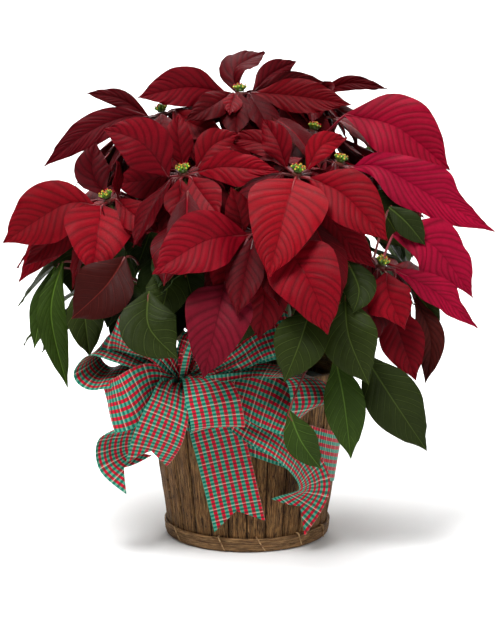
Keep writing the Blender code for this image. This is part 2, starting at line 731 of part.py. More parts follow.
def place_plants(room):
    """Place every bract and leaf clear of the other nodes, and leave out what finds no room.

    It gives the settings of each blade, by node.
    """
    draw = random.Random(SEED)
    placed = {}
    for name in HEADS:
        node = "bracts_" + name
        placed[node] = []
        for row in SHOWN_BRACTS.get(name, ()):
            placed[node].append(place_blade(room, node, shown_tries(name, row)))
    for row in SHOWN_LEAVES:
        node = f"plant_{crown_of(row[0]) + 1}"
        placed.setdefault(node, []).append(place_blade(room, node, leaf_tries(row)))
    for name, bearings in HIDDEN_BRACTS.items():
        node = "bracts_" + name
        for bearing in bearings:
            length = draw.uniform(*HIDDEN_LENGTH)
            half = draw.uniform(*HIDDEN_HALF)
            dip = draw.uniform(*HIDDEN_DIP)
            placed[node].append(place_blade(room, node, hidden_tries(name, bearing, length, half, dip)))
    for name, leaves in HIDDEN_LEAVES.items():
        node = f"plant_{crown_of(name) + 1}"
        for bearing, share in leaves:
            length = draw.uniform(*HIDDEN_LEAF_LENGTH)
            half = draw.uniform(*HIDDEN_LEAF_HALF)
            tries = hidden_leaf_tries(name, bearing, share, length, half)
            placed.setdefault(node, []).append(place_blade(room, node, tries))
    return {node: [p for p in blades if p] for node, blades in placed.items()}


# Ribbon


def knot_middle():
    """The middle of the bow's knot, against the band."""
    away = band_radius(KNOT_HEIGHT) + RIBBON_THICKNESS + GAP + KNOT_RADIUS
    return Vector((away * math.cos(KNOT_ANGLE), away * math.sin(KNOT_ANGLE), KNOT_HEIGHT))


def strip_rows(stations, is_loop):
    """A strip's stations with its ends in the knot: middle, direction of the width and share of the width."""
    rows = []
    for place, (x, z, y), share in stations:
        rows.append((seen(*place), Vector((x, y, z)).normalized(), share))
    knot = knot_middle()
    apart = Vector((0, 0, 0))
    if is_loop:
        first, last = rows[0][0], rows[-1][0]
        way = ((first + last) / 2 - knot).normalized()
        apart = first - last
        apart = (apart - way * apart.dot(way)).normalized() * LOOP_SPREAD
        rows.append((knot - apart, rows[-1][1], PINCH))
    rows.insert(0, (knot + apart, rows[0][1], PINCH))
    return rows


def strip(stations, thick, is_loop):
    """Points and faces of a ribbon strip from the knot: a loop back to it, or a tail with a V-cut end."""
    rows = strip_rows(stations, is_loop)
    last = len(rows) - 1
    alongs = []
    widths = []
    for i, (middle, width, share) in enumerate(rows):
        along = (rows[min(i + 1, last)][0] - rows[max(i - 1, 0)][0]).normalized()
        alongs.append(along)
        widths.append((width - along * width.dot(along) * SQUARED).normalized())
    sides = []
    for i in range(last):
        sides.append((rows[i + 1][0] - rows[i][0]).cross(widths[i] + widths[i + 1]).normalized())
    sides = [sides[0]] + sides + [sides[-1]]
    verts = []
    for i, (middle, width, share) in enumerate(rows):
        low = -(sides[i] + sides[i + 1]).normalized() * thick / 2
        reach = widths[i] * share * RIBBON_WIDTH / 2
        left, right = middle - reach, middle + reach
        if not is_loop and i == last:
            middle = middle - alongs[i] * NOTCH
        verts += [left - low, middle - low, right - low, right + low, middle + low, left + low]
    faces = [(0, 1, 4), (0, 4, 5), (1, 2, 3), (1, 3, 4)]
    for i in range(last):
        a = 6 * i
        b = a + 6
        faces += [(a, b + 1, a + 1), (a, b, b + 1), (a + 1, b + 2, a + 2), (a + 1, b + 1, b + 2)]
        faces += [(a + 3, b + 3, a + 4), (a + 4, b + 3, b + 4), (a + 5, a + 4, b + 4), (a + 5, b + 4, b + 5)]
        faces += [(a, b + 5, b), (a, a + 5, b + 5), (a + 2, b + 3, a + 3), (a + 2, b + 2, b + 3)]
    b = 6 * last
    faces += [(b + 1, b, b + 4), (b, b + 5, b + 4), (b + 2, b + 1, b + 3), (b + 1, b + 4, b + 3)]
    return verts, faces


def knot_shape():
    """Points and faces of the knot: a short rounded drum with one flat side towards the basket."""
    middle = knot_middle()
    end = KNOT_RADIUS * KNOT_END
    half_turn = math.pi / KNOT_SIDES
    rings = []
    for height, radius in (
        (-KNOT_HALF_HEIGHT, end), (-KNOT_HALF_HEIGHT * KNOT_FULL, KNOT_RADIUS),
        (KNOT_HALF_HEIGHT * KNOT_FULL, KNOT_RADIUS), (KNOT_HALF_HEIGHT, end),
    ):
        ring = circle(radius / math.cos(half_turn), middle.z + height, KNOT_SIDES, KNOT_ANGLE + half_turn)
        rings.append([point + Vector((middle.x, middle.y, 0)) for point in ring])
    return ring_stack(rings, True)


def band_radius(height):
    """The inner radius of the ribbon band round the basket at a height."""
    return wall_radius(height) + STAVE_BULGE + GAP


def band_height(angle):
    """The height of the band's middle at an angle round the basket: low on the right, high at the knot."""
    return BAND_MIDDLE - BAND_SWING * math.cos(angle - BAND_LOW_ANGLE)


def ribbon_band():
    """The ribbon round the basket that carries the bow."""
    rings = []
    half = RIBBON_WIDTH / 2
    for rise, out in ((-half, 0), (-half, RIBBON_THICKNESS), (half, RIBBON_THICKNESS), (half, 0)):
        ring = []
        for k in range(BAND_SIDES):
            angle = KNOT_ANGLE + 2 * math.pi * (k + 0.5) / BAND_SIDES
            height = band_height(angle) + rise
            radius = (band_radius(height) + out) / math.cos(math.pi / BAND_SIDES)
            ring.append(Vector((radius * math.cos(angle), radius * math.sin(angle), height)))
        rings.append(ring)
    return new_object("ribbon_band", *ring_stack(rings), "ribbon")


# Joining


def drop_flaps(work):
    """Delete pairs of triangles that share all three corners, a flap of no thickness."""
    found = {}
    for face in work.faces:
        found.setdefault(frozenset(face.verts), []).append(face)
    flaps = [face for faces in found.values() if len(faces) > 1 for face in faces]
    bmesh.ops.delete(work, geom=flaps, context="FACES")


def one_body(mesh):
    """Keep the largest body of a mesh, without scraps and sealed hollows."""
    work = bmesh.new()
    work.from_mesh(mesh)
    bmesh.ops.dissolve_degenerate(work, edges=work.edges, dist=0.00001)
    left = set(work.verts)
    bodies = []
    while left:
        start = left.pop()
        body = {start}
        todo = [start]
        while todo:
            for edge in todo.pop().link_edges:
                for vert in edge.verts:
                    if vert not in body:
                        body.add(vert)
                        todo.append(vert)
        left -= body
        bodies.append(body)
    bodies.sort(key=len, reverse=True)
    for body in bodies[1:]:
        bmesh.ops.delete(work, geom=list(body), context="VERTS")
    bmesh.ops.triangulate(work, faces=work.faces)
    drop_flaps(work)
    work.to_mesh(mesh)
    work.free()


def joined(name, pieces, look):
    """One object from closed pieces that overlap: the first, united with the rest.

    The manifold solver takes a third of the exact one's time on these pieces and leaves fewer slivers.
    """
    base = new_object(name, *pieces[0], look)
    others = bpy.data.collections.new(name + "_pieces")
    bpy.context.scene.collection.children.link(others)
    for i, (verts, faces) in enumerate(pieces[1:]):
        part = new_object(f"{name}_piece_{i}", verts, faces, look)
        bpy.context.scene.collection.objects.unlink(part)
        others.objects.link(part)
    union = base.modifiers.new("union", "BOOLEAN")
    union.operation = "UNION"
    union.operand_type = "COLLECTION"
    union.collection = others
    union.solver = "MANIFOLD"
    seen_mesh = base.evaluated_get(bpy.context.evaluated_depsgraph_get())
    mesh = bpy.data.meshes.new_from_object(seen_mesh)
    base.modifiers.clear()
    base.data = mesh
    for part in list(others.objects):
        bpy.data.objects.remove(part)
    bpy.data.collections.remove(others)
    one_body(mesh)
    mesh.materials.clear()
    mesh.materials.append(material(look))
    return base


def hub(head):
    """The short drum that a head's bracts grow from."""
    middle, facing = head_place(head)
    line = [middle - facing * HUB_HALF_HEIGHT, middle + facing * HUB_HALF_HEIGHT]
    return tube(line, 1, HUB_SIDES, HUB_RADIUS, HUB_RADIUS)


def bead(middle, facing, radius):
    """Points and faces of a small bead with a pointed top and bottom."""
    side, other = turned_frame(facing)
    verts = [middle - facing * radius, middle + facing * radius]
    for k in range(BEAD_SIDES):
        turn = 2 * math.pi * k / BEAD_SIDES
        verts.append(middle + (side * math.cos(turn) + other * math.sin(turn)) * radius)
    faces = []
    for k in range(BEAD_SIDES):
        a = 2 + k
        b = 2 + (k + 1) % BEAD_SIDES
        faces += [(a, b, 1), (b, a, 0)]
    return verts, faces


def cyathia_pieces(head):
    """The cup and the ring of beads in a head's middle."""
    middle, facing = head_place(head)
    side, other = turned_frame(facing)
    low = middle + facing * (HUB_HALF_HEIGHT + GAP)
    pieces = [tube([low, low + facing * CUP_HEIGHT], 1, BEADS - 1, CUP_RADIUS, CUP_RADIUS)]
    for k in range(BEADS):
        turn = 2 * math.pi * k / (BEADS - 1)
        out = (side * math.cos(turn) + other * math.sin(turn)) * (BEAD_RING if k < BEADS - 1 else 0)
        rise = CUP_HEIGHT + (BEAD_RISE if k < BEADS - 1 else MIDDLE_BEAD_RISE)
        pieces.append(bead(low + out + facing * rise, facing, BEAD_RADIUS))
    return pieces


def crown_piece(index):
    """The short main stem of a plant, from inside the soil."""
    x, y = CROWNS[index]
    low = soil_top() - CROWN_DEPTH + GAP
    line = [Vector((x, y, low)), Vector((x, y, soil_top() + CROWN_RISE))]
    return tube(line, 1, CROWN_SIDES, CROWN_RADIUS, CROWN_RADIUS)


# Basket, pot and soil


def wall_radius(height):
    """The basket wall's outer radius at a height, on the crowns of its staves."""
    return WALL_FOOT_RADIUS + (WALL_RIM_RADIUS - WALL_FOOT_RADIUS) * height / WALL_HEIGHT


def ring_stack(rings, closed_ends=False):
    """Points and faces of a body from rings of as many points each, joined in a loop or capped."""
    sides = len(rings[0])
    verts = [v for ring in rings for v in ring]
    faces = []
    count = len(rings) if not closed_ends else len(rings) - 1
    for i in range(count):
        for k in range(sides):
            a = i * sides + k
            b = i * sides + (k + 1) % sides
            c = ((i + 1) % len(rings)) * sides
            faces.append((a, b, c + (k + 1) % sides, c + k))
    if closed_ends:
        faces.append(tuple(reversed(range(sides))))
        faces.append(tuple(range((len(rings) - 1) * sides, len(rings) * sides)))
    return verts, faces


def circle(radius, height, sides, turn=0.0):
    """A ring of points round the upright axis, the first of them at an angle."""
    angles = [turn + 2 * math.pi * k / sides for k in range(sides)]
    return [Vector((radius * math.cos(a), radius * math.sin(a), height)) for a in angles]


def bark_wall():
    """The wall of bark staves: grooves between them, and a slightly uneven top."""
    draw = random.Random(SEED)
    levels = (0.0, FOOT_HOOP[1] + 2, 95.0, WALL_HEIGHT)
    bulges = [[draw.uniform(0, STAVE_BULGE) for _ in range(STAVES)] for _ in levels]
    tops = [draw.uniform(-RIM_RAGGEDNESS, 0) for _ in range(STAVES)]
    marks = (0.0, STAVE_EDGE, 1 - STAVE_EDGE)
    rings = []
    for j, level in enumerate(levels):
        ring = []
        for i in range(STAVES):
            flat = j in (0, 1, len(levels) - 1)
            bulge = 0 if flat else bulges[j][i]
            for k, mark in enumerate(marks):
                angle = 2 * math.pi * (i + mark) / STAVES
                radius = wall_radius(level) + (bulge if k else -STAVE_GROOVE)
                height = level + (tops[i] if j == len(levels) - 1 else 0)
                ring.append(Vector((radius * math.cos(angle), radius * math.sin(angle), height)))
        rings.append(ring)
    for source, level in ((rings[-1], WALL_HEIGHT), (rings[0], 0.0)):
        inner = []
        for point in source:
            radius = wall_radius(level) - WALL_THICKNESS
            flat = point.xy.normalized() * radius
            inner.append(Vector((flat.x, flat.y, point.z)))
        rings.append(inner)
    verts, faces = ring_stack(rings)
    return new_object("bark_wall", verts, faces, "bark")


def hoop(name, low, high, inside):
    """A flat wooden hoop round the wall, or inside it."""
    rings = []
    far = ROUND_GAP + HOOP_THICKNESS
    for height, out in ((low, ROUND_GAP), (low, far), (high, far), (high, ROUND_GAP)):
        radius = wall_radius(height) + out if not inside else wall_radius(height) - WALL_THICKNESS - out
        rings.append(circle(radius, height, HOOP_SIDES))
    return new_object(name, *ring_stack(rings), "wood")


def basket_floor():
    """The round wooden floor inside the wall's foot."""
    radius = wall_radius(0) - WALL_THICKNESS - ROUND_GAP
    rings = [circle(radius, 0, FLOOR_SIDES), circle(radius, FLOOR_THICKNESS, FLOOR_SIDES)]
    return new_object("basket_floor", *ring_stack(rings, True), "wood")


def tie(index, angle):
    """A small wire staple over the foot hoop, its two ends on the wall."""
    low, high = FOOT_HOOP
    reach = ROUND_GAP + HOOP_THICKNESS + GAP
    profile = []
    top = high + GAP
    for height, out in (
        (top, GAP), (top, reach), (low + TIE_END, reach), (low + TIE_END, reach + TIE_THICKNESS),
        (top + TIE_THICKNESS, reach + TIE_THICKNESS), (top + TIE_THICKNESS, GAP),
    ):
        profile.append((wall_radius(height) + out, height))
    rings = []
    half = TIE_WIDTH / 2 / WALL_FOOT_RADIUS
    for side in (-half, half):
        ring = []
        for radius, height in profile:
            turn = math.radians(angle) + side + TIE_SLANT * (height / high - 0.5)
            ring.append(Vector((radius * math.cos(turn), radius * math.sin(turn), height)))
        rings.append(ring)
    return new_object(f"hoop_tie_{index}", *ring_stack(rings, True), "wire", smooth=False)


def pot_radius(height):
    """The grow pot's outer radius at a height above its foot."""
    return POT_FOOT_RADIUS + (POT_RIM_RADIUS - POT_FOOT_RADIUS) * height / POT_HEIGHT


def soil_radius(height):
    """The soil's radius at a height above the pot's foot, a gap inside the pot's wall."""
    share = (height - POT_WALL) / (POT_HEIGHT - POT_WALL)
    return POT_FOOT_RADIUS + (POT_RIM_RADIUS - POT_FOOT_RADIUS) * share - POT_WALL - GAP


def grow_pot():
    """The plastic pot inside the basket, with a lip."""
    foot = FLOOR_THICKNESS + GAP
    lip_low = POT_HEIGHT - POT_LIP_HEIGHT
    profile = (
        (POT_FOOT_RADIUS, 0), (pot_radius(lip_low), lip_low), (pot_radius(lip_low) + POT_LIP, lip_low),
        (POT_RIM_RADIUS + POT_LIP, POT_HEIGHT), (POT_RIM_RADIUS - POT_WALL, POT_HEIGHT),
        (POT_FOOT_RADIUS - POT_WALL, POT_WALL),
    )
    rings = [circle(radius, foot + height, POT_SIDES) for radius, height in profile]
    return new_object("grow_pot", *ring_stack(rings, True), "plastic")


def soil():
    """The potting soil, with a plain hole for each plant's main stem."""
    foot = FLOOR_THICKNESS + GAP
    top = soil_top()
    rings = []
    for height in (POT_WALL + GAP, top - foot):
        rings.append(circle(soil_radius(height), foot + height, POT_SIDES))
    made = new_object("soil", *ring_stack(rings, True), "soil")
    for i, (x, y) in enumerate(CROWNS):
        low = top - CROWN_DEPTH
        line = [Vector((x, y, low)), Vector((x, y, top + 5))]
        radius = CROWN_RADIUS + GAP
        cutter = new_object(f"hole_{i}", *tube(line, 1, CROWN_SIDES, radius, radius), "soil")
        cut = made.modifiers.new(f"hole_{i}", "BOOLEAN")
        cut.operation = "DIFFERENCE"
        cut.object = cutter
        cut.solver = "EXACT"
        cutter.hide_render = True
        cutter.display_type = "WIRE"
    return made


def mesh_of(made):
    """An object's points in millimetres and its faces, for the room."""
    verts = [v.co / MM for v in made.data.vertices]
    return verts, [tuple(p.vertices) for p in made.data.polygons]


def main():
    for old in list(bpy.data.objects):
        bpy.data.objects.remove(old)
    room = Room()
    basket_floor()
    soil()
    holders = [bark_wall(), hoop("foot_hoop", *FOOT_HOOP, False), hoop("rim_hoop", *RIM_HOOP, True)]
    holders += [grow_pot(), ribbon_band()]
    holders += [tie(i + 1, angle) for i, angle in enumerate(TIE_ANGLES)]
    for made in holders:
        room.add(made.name, *mesh_of(made))
    bow = {"knot": knot_shape()}
    for name, stations in RIBBON_LOOPS.items():
        bow[name] = strip(stations, RIBBON_THICKNESS, True)
    for name, stations in RIBBON_TAILS.items():
        bow[name] = strip(stations, RIBBON_THICKNESS, False)
    tree = room.tree("ribbon_bow", False)
    for name, shape in bow.items():
        if not clear_of(tree, *shape):
            raise ValueError(f"{name} crosses the basket")
        room.add("ribbon_bow", *shape)
    pieces = {}
    for i in range(len(CROWNS)):
        pieces[f"plant_{i + 1}"] = [crown_piece(i)]
    for name in HEADS:
        stem = tube(branch_line(name), STEM_STEPS, STEM_SIDES, STEM_FOOT_RADIUS, STEM_TOP_RADIUS)
        pieces[f"plant_{crown_of(name) + 1}"].append(stem)
        pieces["bracts_" + name] = [hub(name)]
        pieces["cyathia_" + name] = cyathia_pieces(name)
    for node, parts in pieces.items():
        for verts, faces in parts:
            if not clear_of(room.tree(node, False), verts, faces):
                raise ValueError(f"a stem, hub or cup of {node} crosses another node")
            room.add(node, verts, faces)
    for node, blades in place_plants(room).items():
        pieces[node] += [blade(**settings) for settings in blades]
    for node, parts in pieces.items():
        joined(node, parts, node[:node.index("_")])
    joined("ribbon_bow", list(bow.values()), "ribbon")


main()
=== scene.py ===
"""A poinsettia in a bark basket with a plaid ribbon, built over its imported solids.

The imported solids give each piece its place. The bracts, leaves, stems and ribbon follow the same lines as
the solids do, with veins, quilting, pleats and weave added. Lengths here are in millimetres until a mesh is
made, apart from the settings and the stage, which are in metres.
"""

import math
import random
from collections import namedtuple

import bpy
import numpy as np
from mathutils import Matrix, Vector, noise
from mathutils.bvhtree import BVHTree
from mathutils.kdtree import KDTree


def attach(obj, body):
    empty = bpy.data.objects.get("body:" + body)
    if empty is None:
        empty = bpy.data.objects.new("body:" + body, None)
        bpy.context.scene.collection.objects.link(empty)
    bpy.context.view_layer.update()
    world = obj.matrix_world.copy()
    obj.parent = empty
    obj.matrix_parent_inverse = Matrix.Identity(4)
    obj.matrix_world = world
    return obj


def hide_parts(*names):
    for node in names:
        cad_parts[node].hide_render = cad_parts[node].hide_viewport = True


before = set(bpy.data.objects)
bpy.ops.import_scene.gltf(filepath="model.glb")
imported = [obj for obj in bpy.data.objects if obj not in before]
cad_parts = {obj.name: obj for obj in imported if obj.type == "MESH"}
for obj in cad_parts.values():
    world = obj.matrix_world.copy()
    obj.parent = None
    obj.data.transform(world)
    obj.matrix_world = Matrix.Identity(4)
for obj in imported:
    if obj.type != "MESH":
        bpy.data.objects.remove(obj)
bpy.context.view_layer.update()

bl_info = {
    "name": "Poinsettia in a bark basket",
    "version": (1, 0, 0),
    "blender": (4, 5, 0),
    "location": "3D View > Sidebar > Poinsettia",
    "description": "Builds bracts, leaves, bark and ribbon over the packed solids",
    "category": "Object",
}

MM = 0.001
SEED = 12
FULL_TURN = 2 * math.pi
UP = Vector((0, 0, 1))
# How far a blade's corner may lie from the solid's to count as found, and the share that must be found
OUT_OF_PLACE = 0.02
ENOUGH_CORNERS = 0.45

# The viewer's place, for points given as they look from the front
VIEW_TILT = math.radians(10)
VIEW_DISTANCE = 2000.0
AIM_HEIGHT = 240.0
EYE = Vector((0, -VIEW_DISTANCE * math.cos(VIEW_TILT), AIM_HEIGHT + VIEW_DISTANCE * math.sin(VIEW_TILT)))

# Basket
WALL_HEIGHT = 176.0
WALL_FOOT_RADIUS = 79.0
WALL_RIM_RADIUS = 103.5
WALL_THICKNESS = 6.0
STAVES = 28
STAVE_BULGE = 1.6
RIM_RAGGEDNESS = 2.5
HOOP_THICKNESS = 2.4
FOOT_HOOP = (1.0, 15.0)
RIM_HOOP = (156.0, 170.0)
# Wider than the gap between flat faces, since the solids' round parts have flat sides
ROUND_GAP = 0.7
FLOOR_THICKNESS = 6.0
TIE_ANGLES = (-145, -107, -80, -51, -25, 40, 100, 160)

# Grow pot and soil
GAP = 0.3
POT_START = FLOOR_THICKNESS + GAP
POT_HEIGHT = 148.0
POT_FOOT_RADIUS = 56.0
POT_RIM_RADIUS = 80.0
POT_WALL = 1.8
POT_LIP = 4.0
POT_LIP_HEIGHT = 10.0
SOIL_BELOW_RIM = 12.0
SOIL_TOP = POT_START + POT_HEIGHT - SOIL_BELOW_RIM

# Plants: heads lean outwards by HEAD_LEAN for each millimetre from the axis, and each grows from the
# foot that is nearest to the point FOOT_SHARE of the way out to it
CROWNS = ((-36.0, -14.0), (36.0, -20.0), (0.0, 38.0))
CROWN_DEPTH = 34.0
CROWN_RISE = 22.0
CROWN_RADII = (5.6, 6.0, 5.9, 6.1, 5.8, 6.1, 5.2)
STEM_FOOT_RADIUS = 4.6
STEM_TOP_RADIUS = 3.0
BRANCH_ROOT = 8.0
BRANCH_SPREAD = 0.32
BRANCH_RISE = 0.30
BRANCH_END = 0.34
HEAD_LEAN = 0.0032
FOOT_SHARE = 0.4
HUB_HALF_HEIGHT = 3.2
HUB_ROOT = 4.0
PETIOLE_REACH = 15.0
PETIOLE_HALF = 1.3
PETIOLE_LIFT = 2.0
PETIOLE_ARCH = 8.0
BRACT_FACE_LIFT = 0.25
LEAF_FACE_LIFT = 0.3
BLADE_THICKNESS = 0.9
FOLD = math.tan(math.radians(13))
CLEARANCE = 0.35

# Ribbon
RIBBON_WIDTH = 51.0
RIBBON_THICKNESS = 1.0
KNOT_ANGLE = math.radians(-122)
KNOT_HEIGHT = 172.0
KNOT_RADIUS = 9.5
KNOT_HALF_HEIGHT = 11.0
# How far from the knot's middle a loop's two ends lie, and how much of a strip's skew is taken out
LOOP_SPREAD = 4.0
SQUARED = 0.5
# Where a strip enters the knot, the share of its width that is left, and its pleats
PINCH = 0.14
PLEATS = 3
BAND_LOW_ANGLE = math.radians(20)
BAND_MIDDLE = 115.0
BAND_SWING = 40.0
BAND_RADIUS = 97.0
NOTCH = 16.0

# A blade's half widths, left and right, by the share of its length: 1 is its full half width
OVAL = ((0.12, 0.36, 0.36), (0.31, 0.9, 0.9), (0.54, 1.0, 1.0), (0.79, 0.56, 0.56), (1.0, 0, 0))
PLAIN_OVAL = ((0.2, 0.58, 0.58), (0.48, 1.0, 1.0), (0.78, 0.6, 0.6), (1.0, 0, 0))
LOBED = ((0.14, 0.5, 0.45), (0.36, 0.95, 1.0), (0.56, 1.12, 0.82), (0.7, 0.56, 0.74), (1.0, 0, 0))
RIGHT_LOBED = ((0.14, 0.45, 0.5), (0.36, 1.0, 0.95), (0.56, 0.82, 1.12), (0.7, 0.74, 0.56), (1.0, 0, 0))
HEART = ((0.08, 0.62, 0.62), (0.27, 1.0, 1.0), (0.52, 0.84, 0.84), (0.8, 0.44, 0.44), (1.0, 0, 0))

# Heads, as seen from the front: across, up, depth behind the axis
HEADS = {
    "01": (-7, 434, 15),
    "02": (-63, 354, -82),
    "03": (50, 354, -100),
    "04": (-138, 328, -62),
    "05": (133, 262, -88),
    "06": (92, 364, -18),
    "07": (66, 396, 34),
    "08": (12, 296, -122),
    "09": (58, 432, 92),
    "10": (-84, 414, 0),
    "11": (-98, 392, 92),
    "12": (-4, 386, 152),
    "13": (122, 372, 112),
    "14": (-150, 322, 36),
}

# Bracts that show, head by head: points of the midrib as (across, up, depth), the half width, the roll in
# degrees and the outline, then the end of its petiole where that is long. Roll brings the blade's right edge
# towards the viewer.
SHOWN_BRACTS = {
    "01": (
        (((-60, 442, 0), (-110, 431, -22)), 20, 0, OVAL),
        (((-12, 461, 42), (19, 477, 72)), 17, -30, OVAL),
        (((24, 455, 34), (50, 468, 52)), 12, 10, OVAL),
        (((50, 433, -4), (105, 424, -28)), 17, 0, OVAL),
        (((-14, 428, -10), (-18, 414, -30)), 10, 0, PLAIN_OVAL),
        (((40, 448, 34), (78, 447, 50)), 10, 20, PLAIN_OVAL),
        (((-34, 424, -24), (-62, 408, -34)), 14, 0, PLAIN_OVAL),
    ),
    "02": (
        (((-105, 386, -92), (-144, 400, -88)), 24, -8, OVAL),
        (((-69, 392, -70), (-68, 416, -58)), 14, 15, OVAL),
        (((-22, 362, -98), (33, 357, -108)), 16, 10, RIGHT_LOBED),
        (((-67, 328, -108), (-70, 304, -128)), 15, 0, OVAL),
        (((-44, 334, -112), (-27, 312, -136)), 17, 0, OVAL),
        (((-95, 350, -66), (-133, 345, -50)), 18, 0, OVAL),
        (((-34, 384, -70), (-8, 396, -58)), 15, 0, OVAL),
    ),
    "03": (
        (((31, 386, -88), (15, 411, -72)), 14, -20, OVAL),
        (((75, 384, -84), (101, 391, -72)), 12, 0, OVAL),
        (((98, 334, -132), (141, 288, -152)), 25, 0, OVAL),
        (((36, 308, -158), (21, 250, -184)), 37, 0, HEART),
        (((92, 299, -112), (128, 261, -120)), 22, 0, OVAL),
        (((13, 386, -76), (-24, 391, -64)), 12, 0, PLAIN_OVAL),
    ),
    "04": (
        (((-184, 324, -64), (-244, 286, -66)), 29, 0, OVAL),
        (((-180, 302, -48), (-223, 263, -44)), 18, 0, OVAL),
        (((-200, 284, -26), (-229, 246, -20)), 18, 0, OVAL),
        (((-150, 290, -98), (-155, 254, -112)), 33, 0, HEART),
        (((-155, 358, -40), (-151, 388, -30)), 17, 0, OVAL),
        (((-130, 350, -84), (-130, 369, -90)), 11, 66, PLAIN_OVAL),
        (((-110, 312, -86), (-88, 296, -104)), 16, 0, PLAIN_OVAL),
    ),
    "05": (
        (((142, 234, -116), (158, 199, -124)), 21, 0, RIGHT_LOBED),
        (((156, 186, -96), (169, 148, -104)), 21, 0, OVAL, (142, 226, -84)),
        (((184, 190, -80), (178, 145, -82)), 13, 0, OVAL, (168, 232, -70)),
        (((188, 238, -82), (232, 200, -84)), 14, 0, LOBED),
        (((186, 284, -66), (226, 231, -66)), 26, 0, RIGHT_LOBED, (146, 294, -62)),
    ),
    "06": (
        (((134, 362, -34), (184, 334, -44), (249, 297, -50)), 25, 0, LOBED),
        (((112, 342, -50), (128, 316, -62)), 13, 0, PLAIN_OVAL),
    ),
    "07": (
        (((150, 402, -2), (203, 359, -12)), 32, 0, OVAL, (98, 414, 14)),
    ),
    "08": (
        (((-42, 288, -160), (-95, 255, -184)), 29, 0, OVAL),
        (((-16, 262, -142), (-30, 233, -152)), 22, 0, PLAIN_OVAL),
        (((-10, 324, -128), (-16, 342, -124)), 13, 0, PLAIN_OVAL),
        (((-32, 200, -166), (-44, 150, -168)), 31, 0, HEART, (-22, 246, -146)),
        (((66, 240, -176), (81, 194, -184)), 33, 0, HEART, (40, 284, -150)),
        (((17, 228, -152), (11, 190, -156)), 26, 0, HEART, (14, 268, -138)),
    ),
    "09": (
        (((102, 446, 60), (141, 440, 40)), 8, 0, PLAIN_OVAL),
        (((82, 440, 56), (82, 428, 36)), 9, 50, PLAIN_OVAL),
    ),
    "10": (
        (((-126, 430, 2), (-161, 436, 4)), 9, 0, PLAIN_OVAL),
        (((-122, 412, -14), (-160, 396, -22), (-204, 362, -26)), 15, 0, OVAL),
        (((-52, 404, -16), (-24, 398, -24)), 15, 0, PLAIN_OVAL),
    ),
}

# Bracts that the front view hides: directions round the head in degrees, from the right and away
HIDDEN_BRACTS = {
    "01": (60, 120),
    "02": (50, 95, 140),
    "03": (60, 110),
    "04": (60, 110, 150),
    "05": (20, 60, 110),
    "06": (20, 75, 130),
    "07": (40, 95, 150),
    "08": (50, 110),
    "09": (20, 70, 120, 170),
    "10": (60, 110, 160),
    "11": (20, 70, 115, 160, 205, 330),
    "12": (0, 48, 90, 132, 180, 270),
    "13": (0, 45, 90, 135, 320),
    "14": (70, 115, 160, 205, 20),
}
HIDDEN_LENGTH = (66.0, 88.0)
HIDDEN_HALF = (17.0, 23.0)
HIDDEN_DIP = (8.0, 26.0)
HIDDEN_DROOP = 0.16

# Leaves that show: the head whose branch carries the leaf, the share of the branch's length at its petiole,
# the midrib's points from the blade's start to its tip, the half width, the roll and the outline
SHOWN_LEAVES = (
    ("04", 0.62, ((-122, 272, -100), (-142, 242, -116), (-176, 210, -116)), 27, 0, OVAL),
    ("04", 0.55, ((-184, 268, -52), (-196, 215, -66), (-179, 140, -70)), 14, 0, OVAL),
    ("04", 0.50, ((-192, 262, -30), (-204, 225, -36), (-213, 180, -40)), 12, 0, PLAIN_OVAL),
    ("04", 0.45, ((-160, 250, -70), (-162, 215, -84), (-157, 172, -80)), 18, 0, PLAIN_OVAL),
    ("02", 0.52, ((-98, 238, -124), (-98, 202, -142), (-69, 170, -148)), 27, 0, OVAL),
    ("02", 0.60, ((-84, 266, -110), (-80, 238, -128), (-92, 206, -136)), 20, 0, PLAIN_OVAL),
    ("08", 0.62, ((64, 222, -140), (52, 184, -160), (37, 147, -162)), 24, 0, OVAL),
    ("03", 0.55, ((98, 236, -120), (102, 192, -142), (122, 144, -146)), 26, 0, OVAL),
    ("03", 0.62, ((100, 268, -106), (112, 240, -120), (106, 216, -130)), 17, 0, PLAIN_OVAL),
    ("08", 0.45, ((88, 172, -116), (97, 128, -126), (104, 70, -122)), 19, 0, OVAL),
    ("05", 0.55, ((116, 176, -96), (144, 132, -108), (180, 78, -106)), 26, 0, OVAL),
    ("05", 0.40, ((42, 118, -112), (54, 88, -116), (74, 60, -110)), 15, 0, OVAL),
    ("05", 0.75, ((142, 322, -56), (160, 306, -62), (178, 284, -62)), 13, 0, PLAIN_OVAL),
    ("05", 0.66, ((164, 240, -56), (180, 222, -60), (191, 199, -60)), 11, 0, PLAIN_OVAL),
    ("02", 0.74, ((-80, 340, -56), (-94, 304, -64), (-112, 256, -66)), 28, 0, PLAIN_OVAL),
    ("02", 0.66, ((-66, 300, -70), (-62, 262, -84), (-52, 222, -92)), 27, 0, PLAIN_OVAL),
    ("08", 0.70, ((2, 250, -90), (-4, 220, -104), (-8, 184, -108)), 25, 0, PLAIN_OVAL),
    ("03", 0.70, ((72, 306, -62), (80, 268, -74), (84, 232, -78)), 25, 0, PLAIN_OVAL),
    ("06", 0.70, ((118, 340, -24), (140, 312, -30), (158, 280, -30)), 25, 0, PLAIN_OVAL),
    ("04", 0.70, ((-150, 296, -30), (-170, 270, -36), (-176, 236, -40)), 24, 0, PLAIN_OVAL),
    ("01", 0.72, ((-20, 396, -6), (-30, 366, -16), (-24, 330, -24)), 26, 0, PLAIN_OVAL),
    ("07", 0.72, ((40, 384, 2), (24, 356, -10), (22, 322, -18)), 25, 0, PLAIN_OVAL),
    ("09", 0.72, ((34, 424, 64), (56, 396, 56), (70, 356, 50)), 28, 0, PLAIN_OVAL),
)

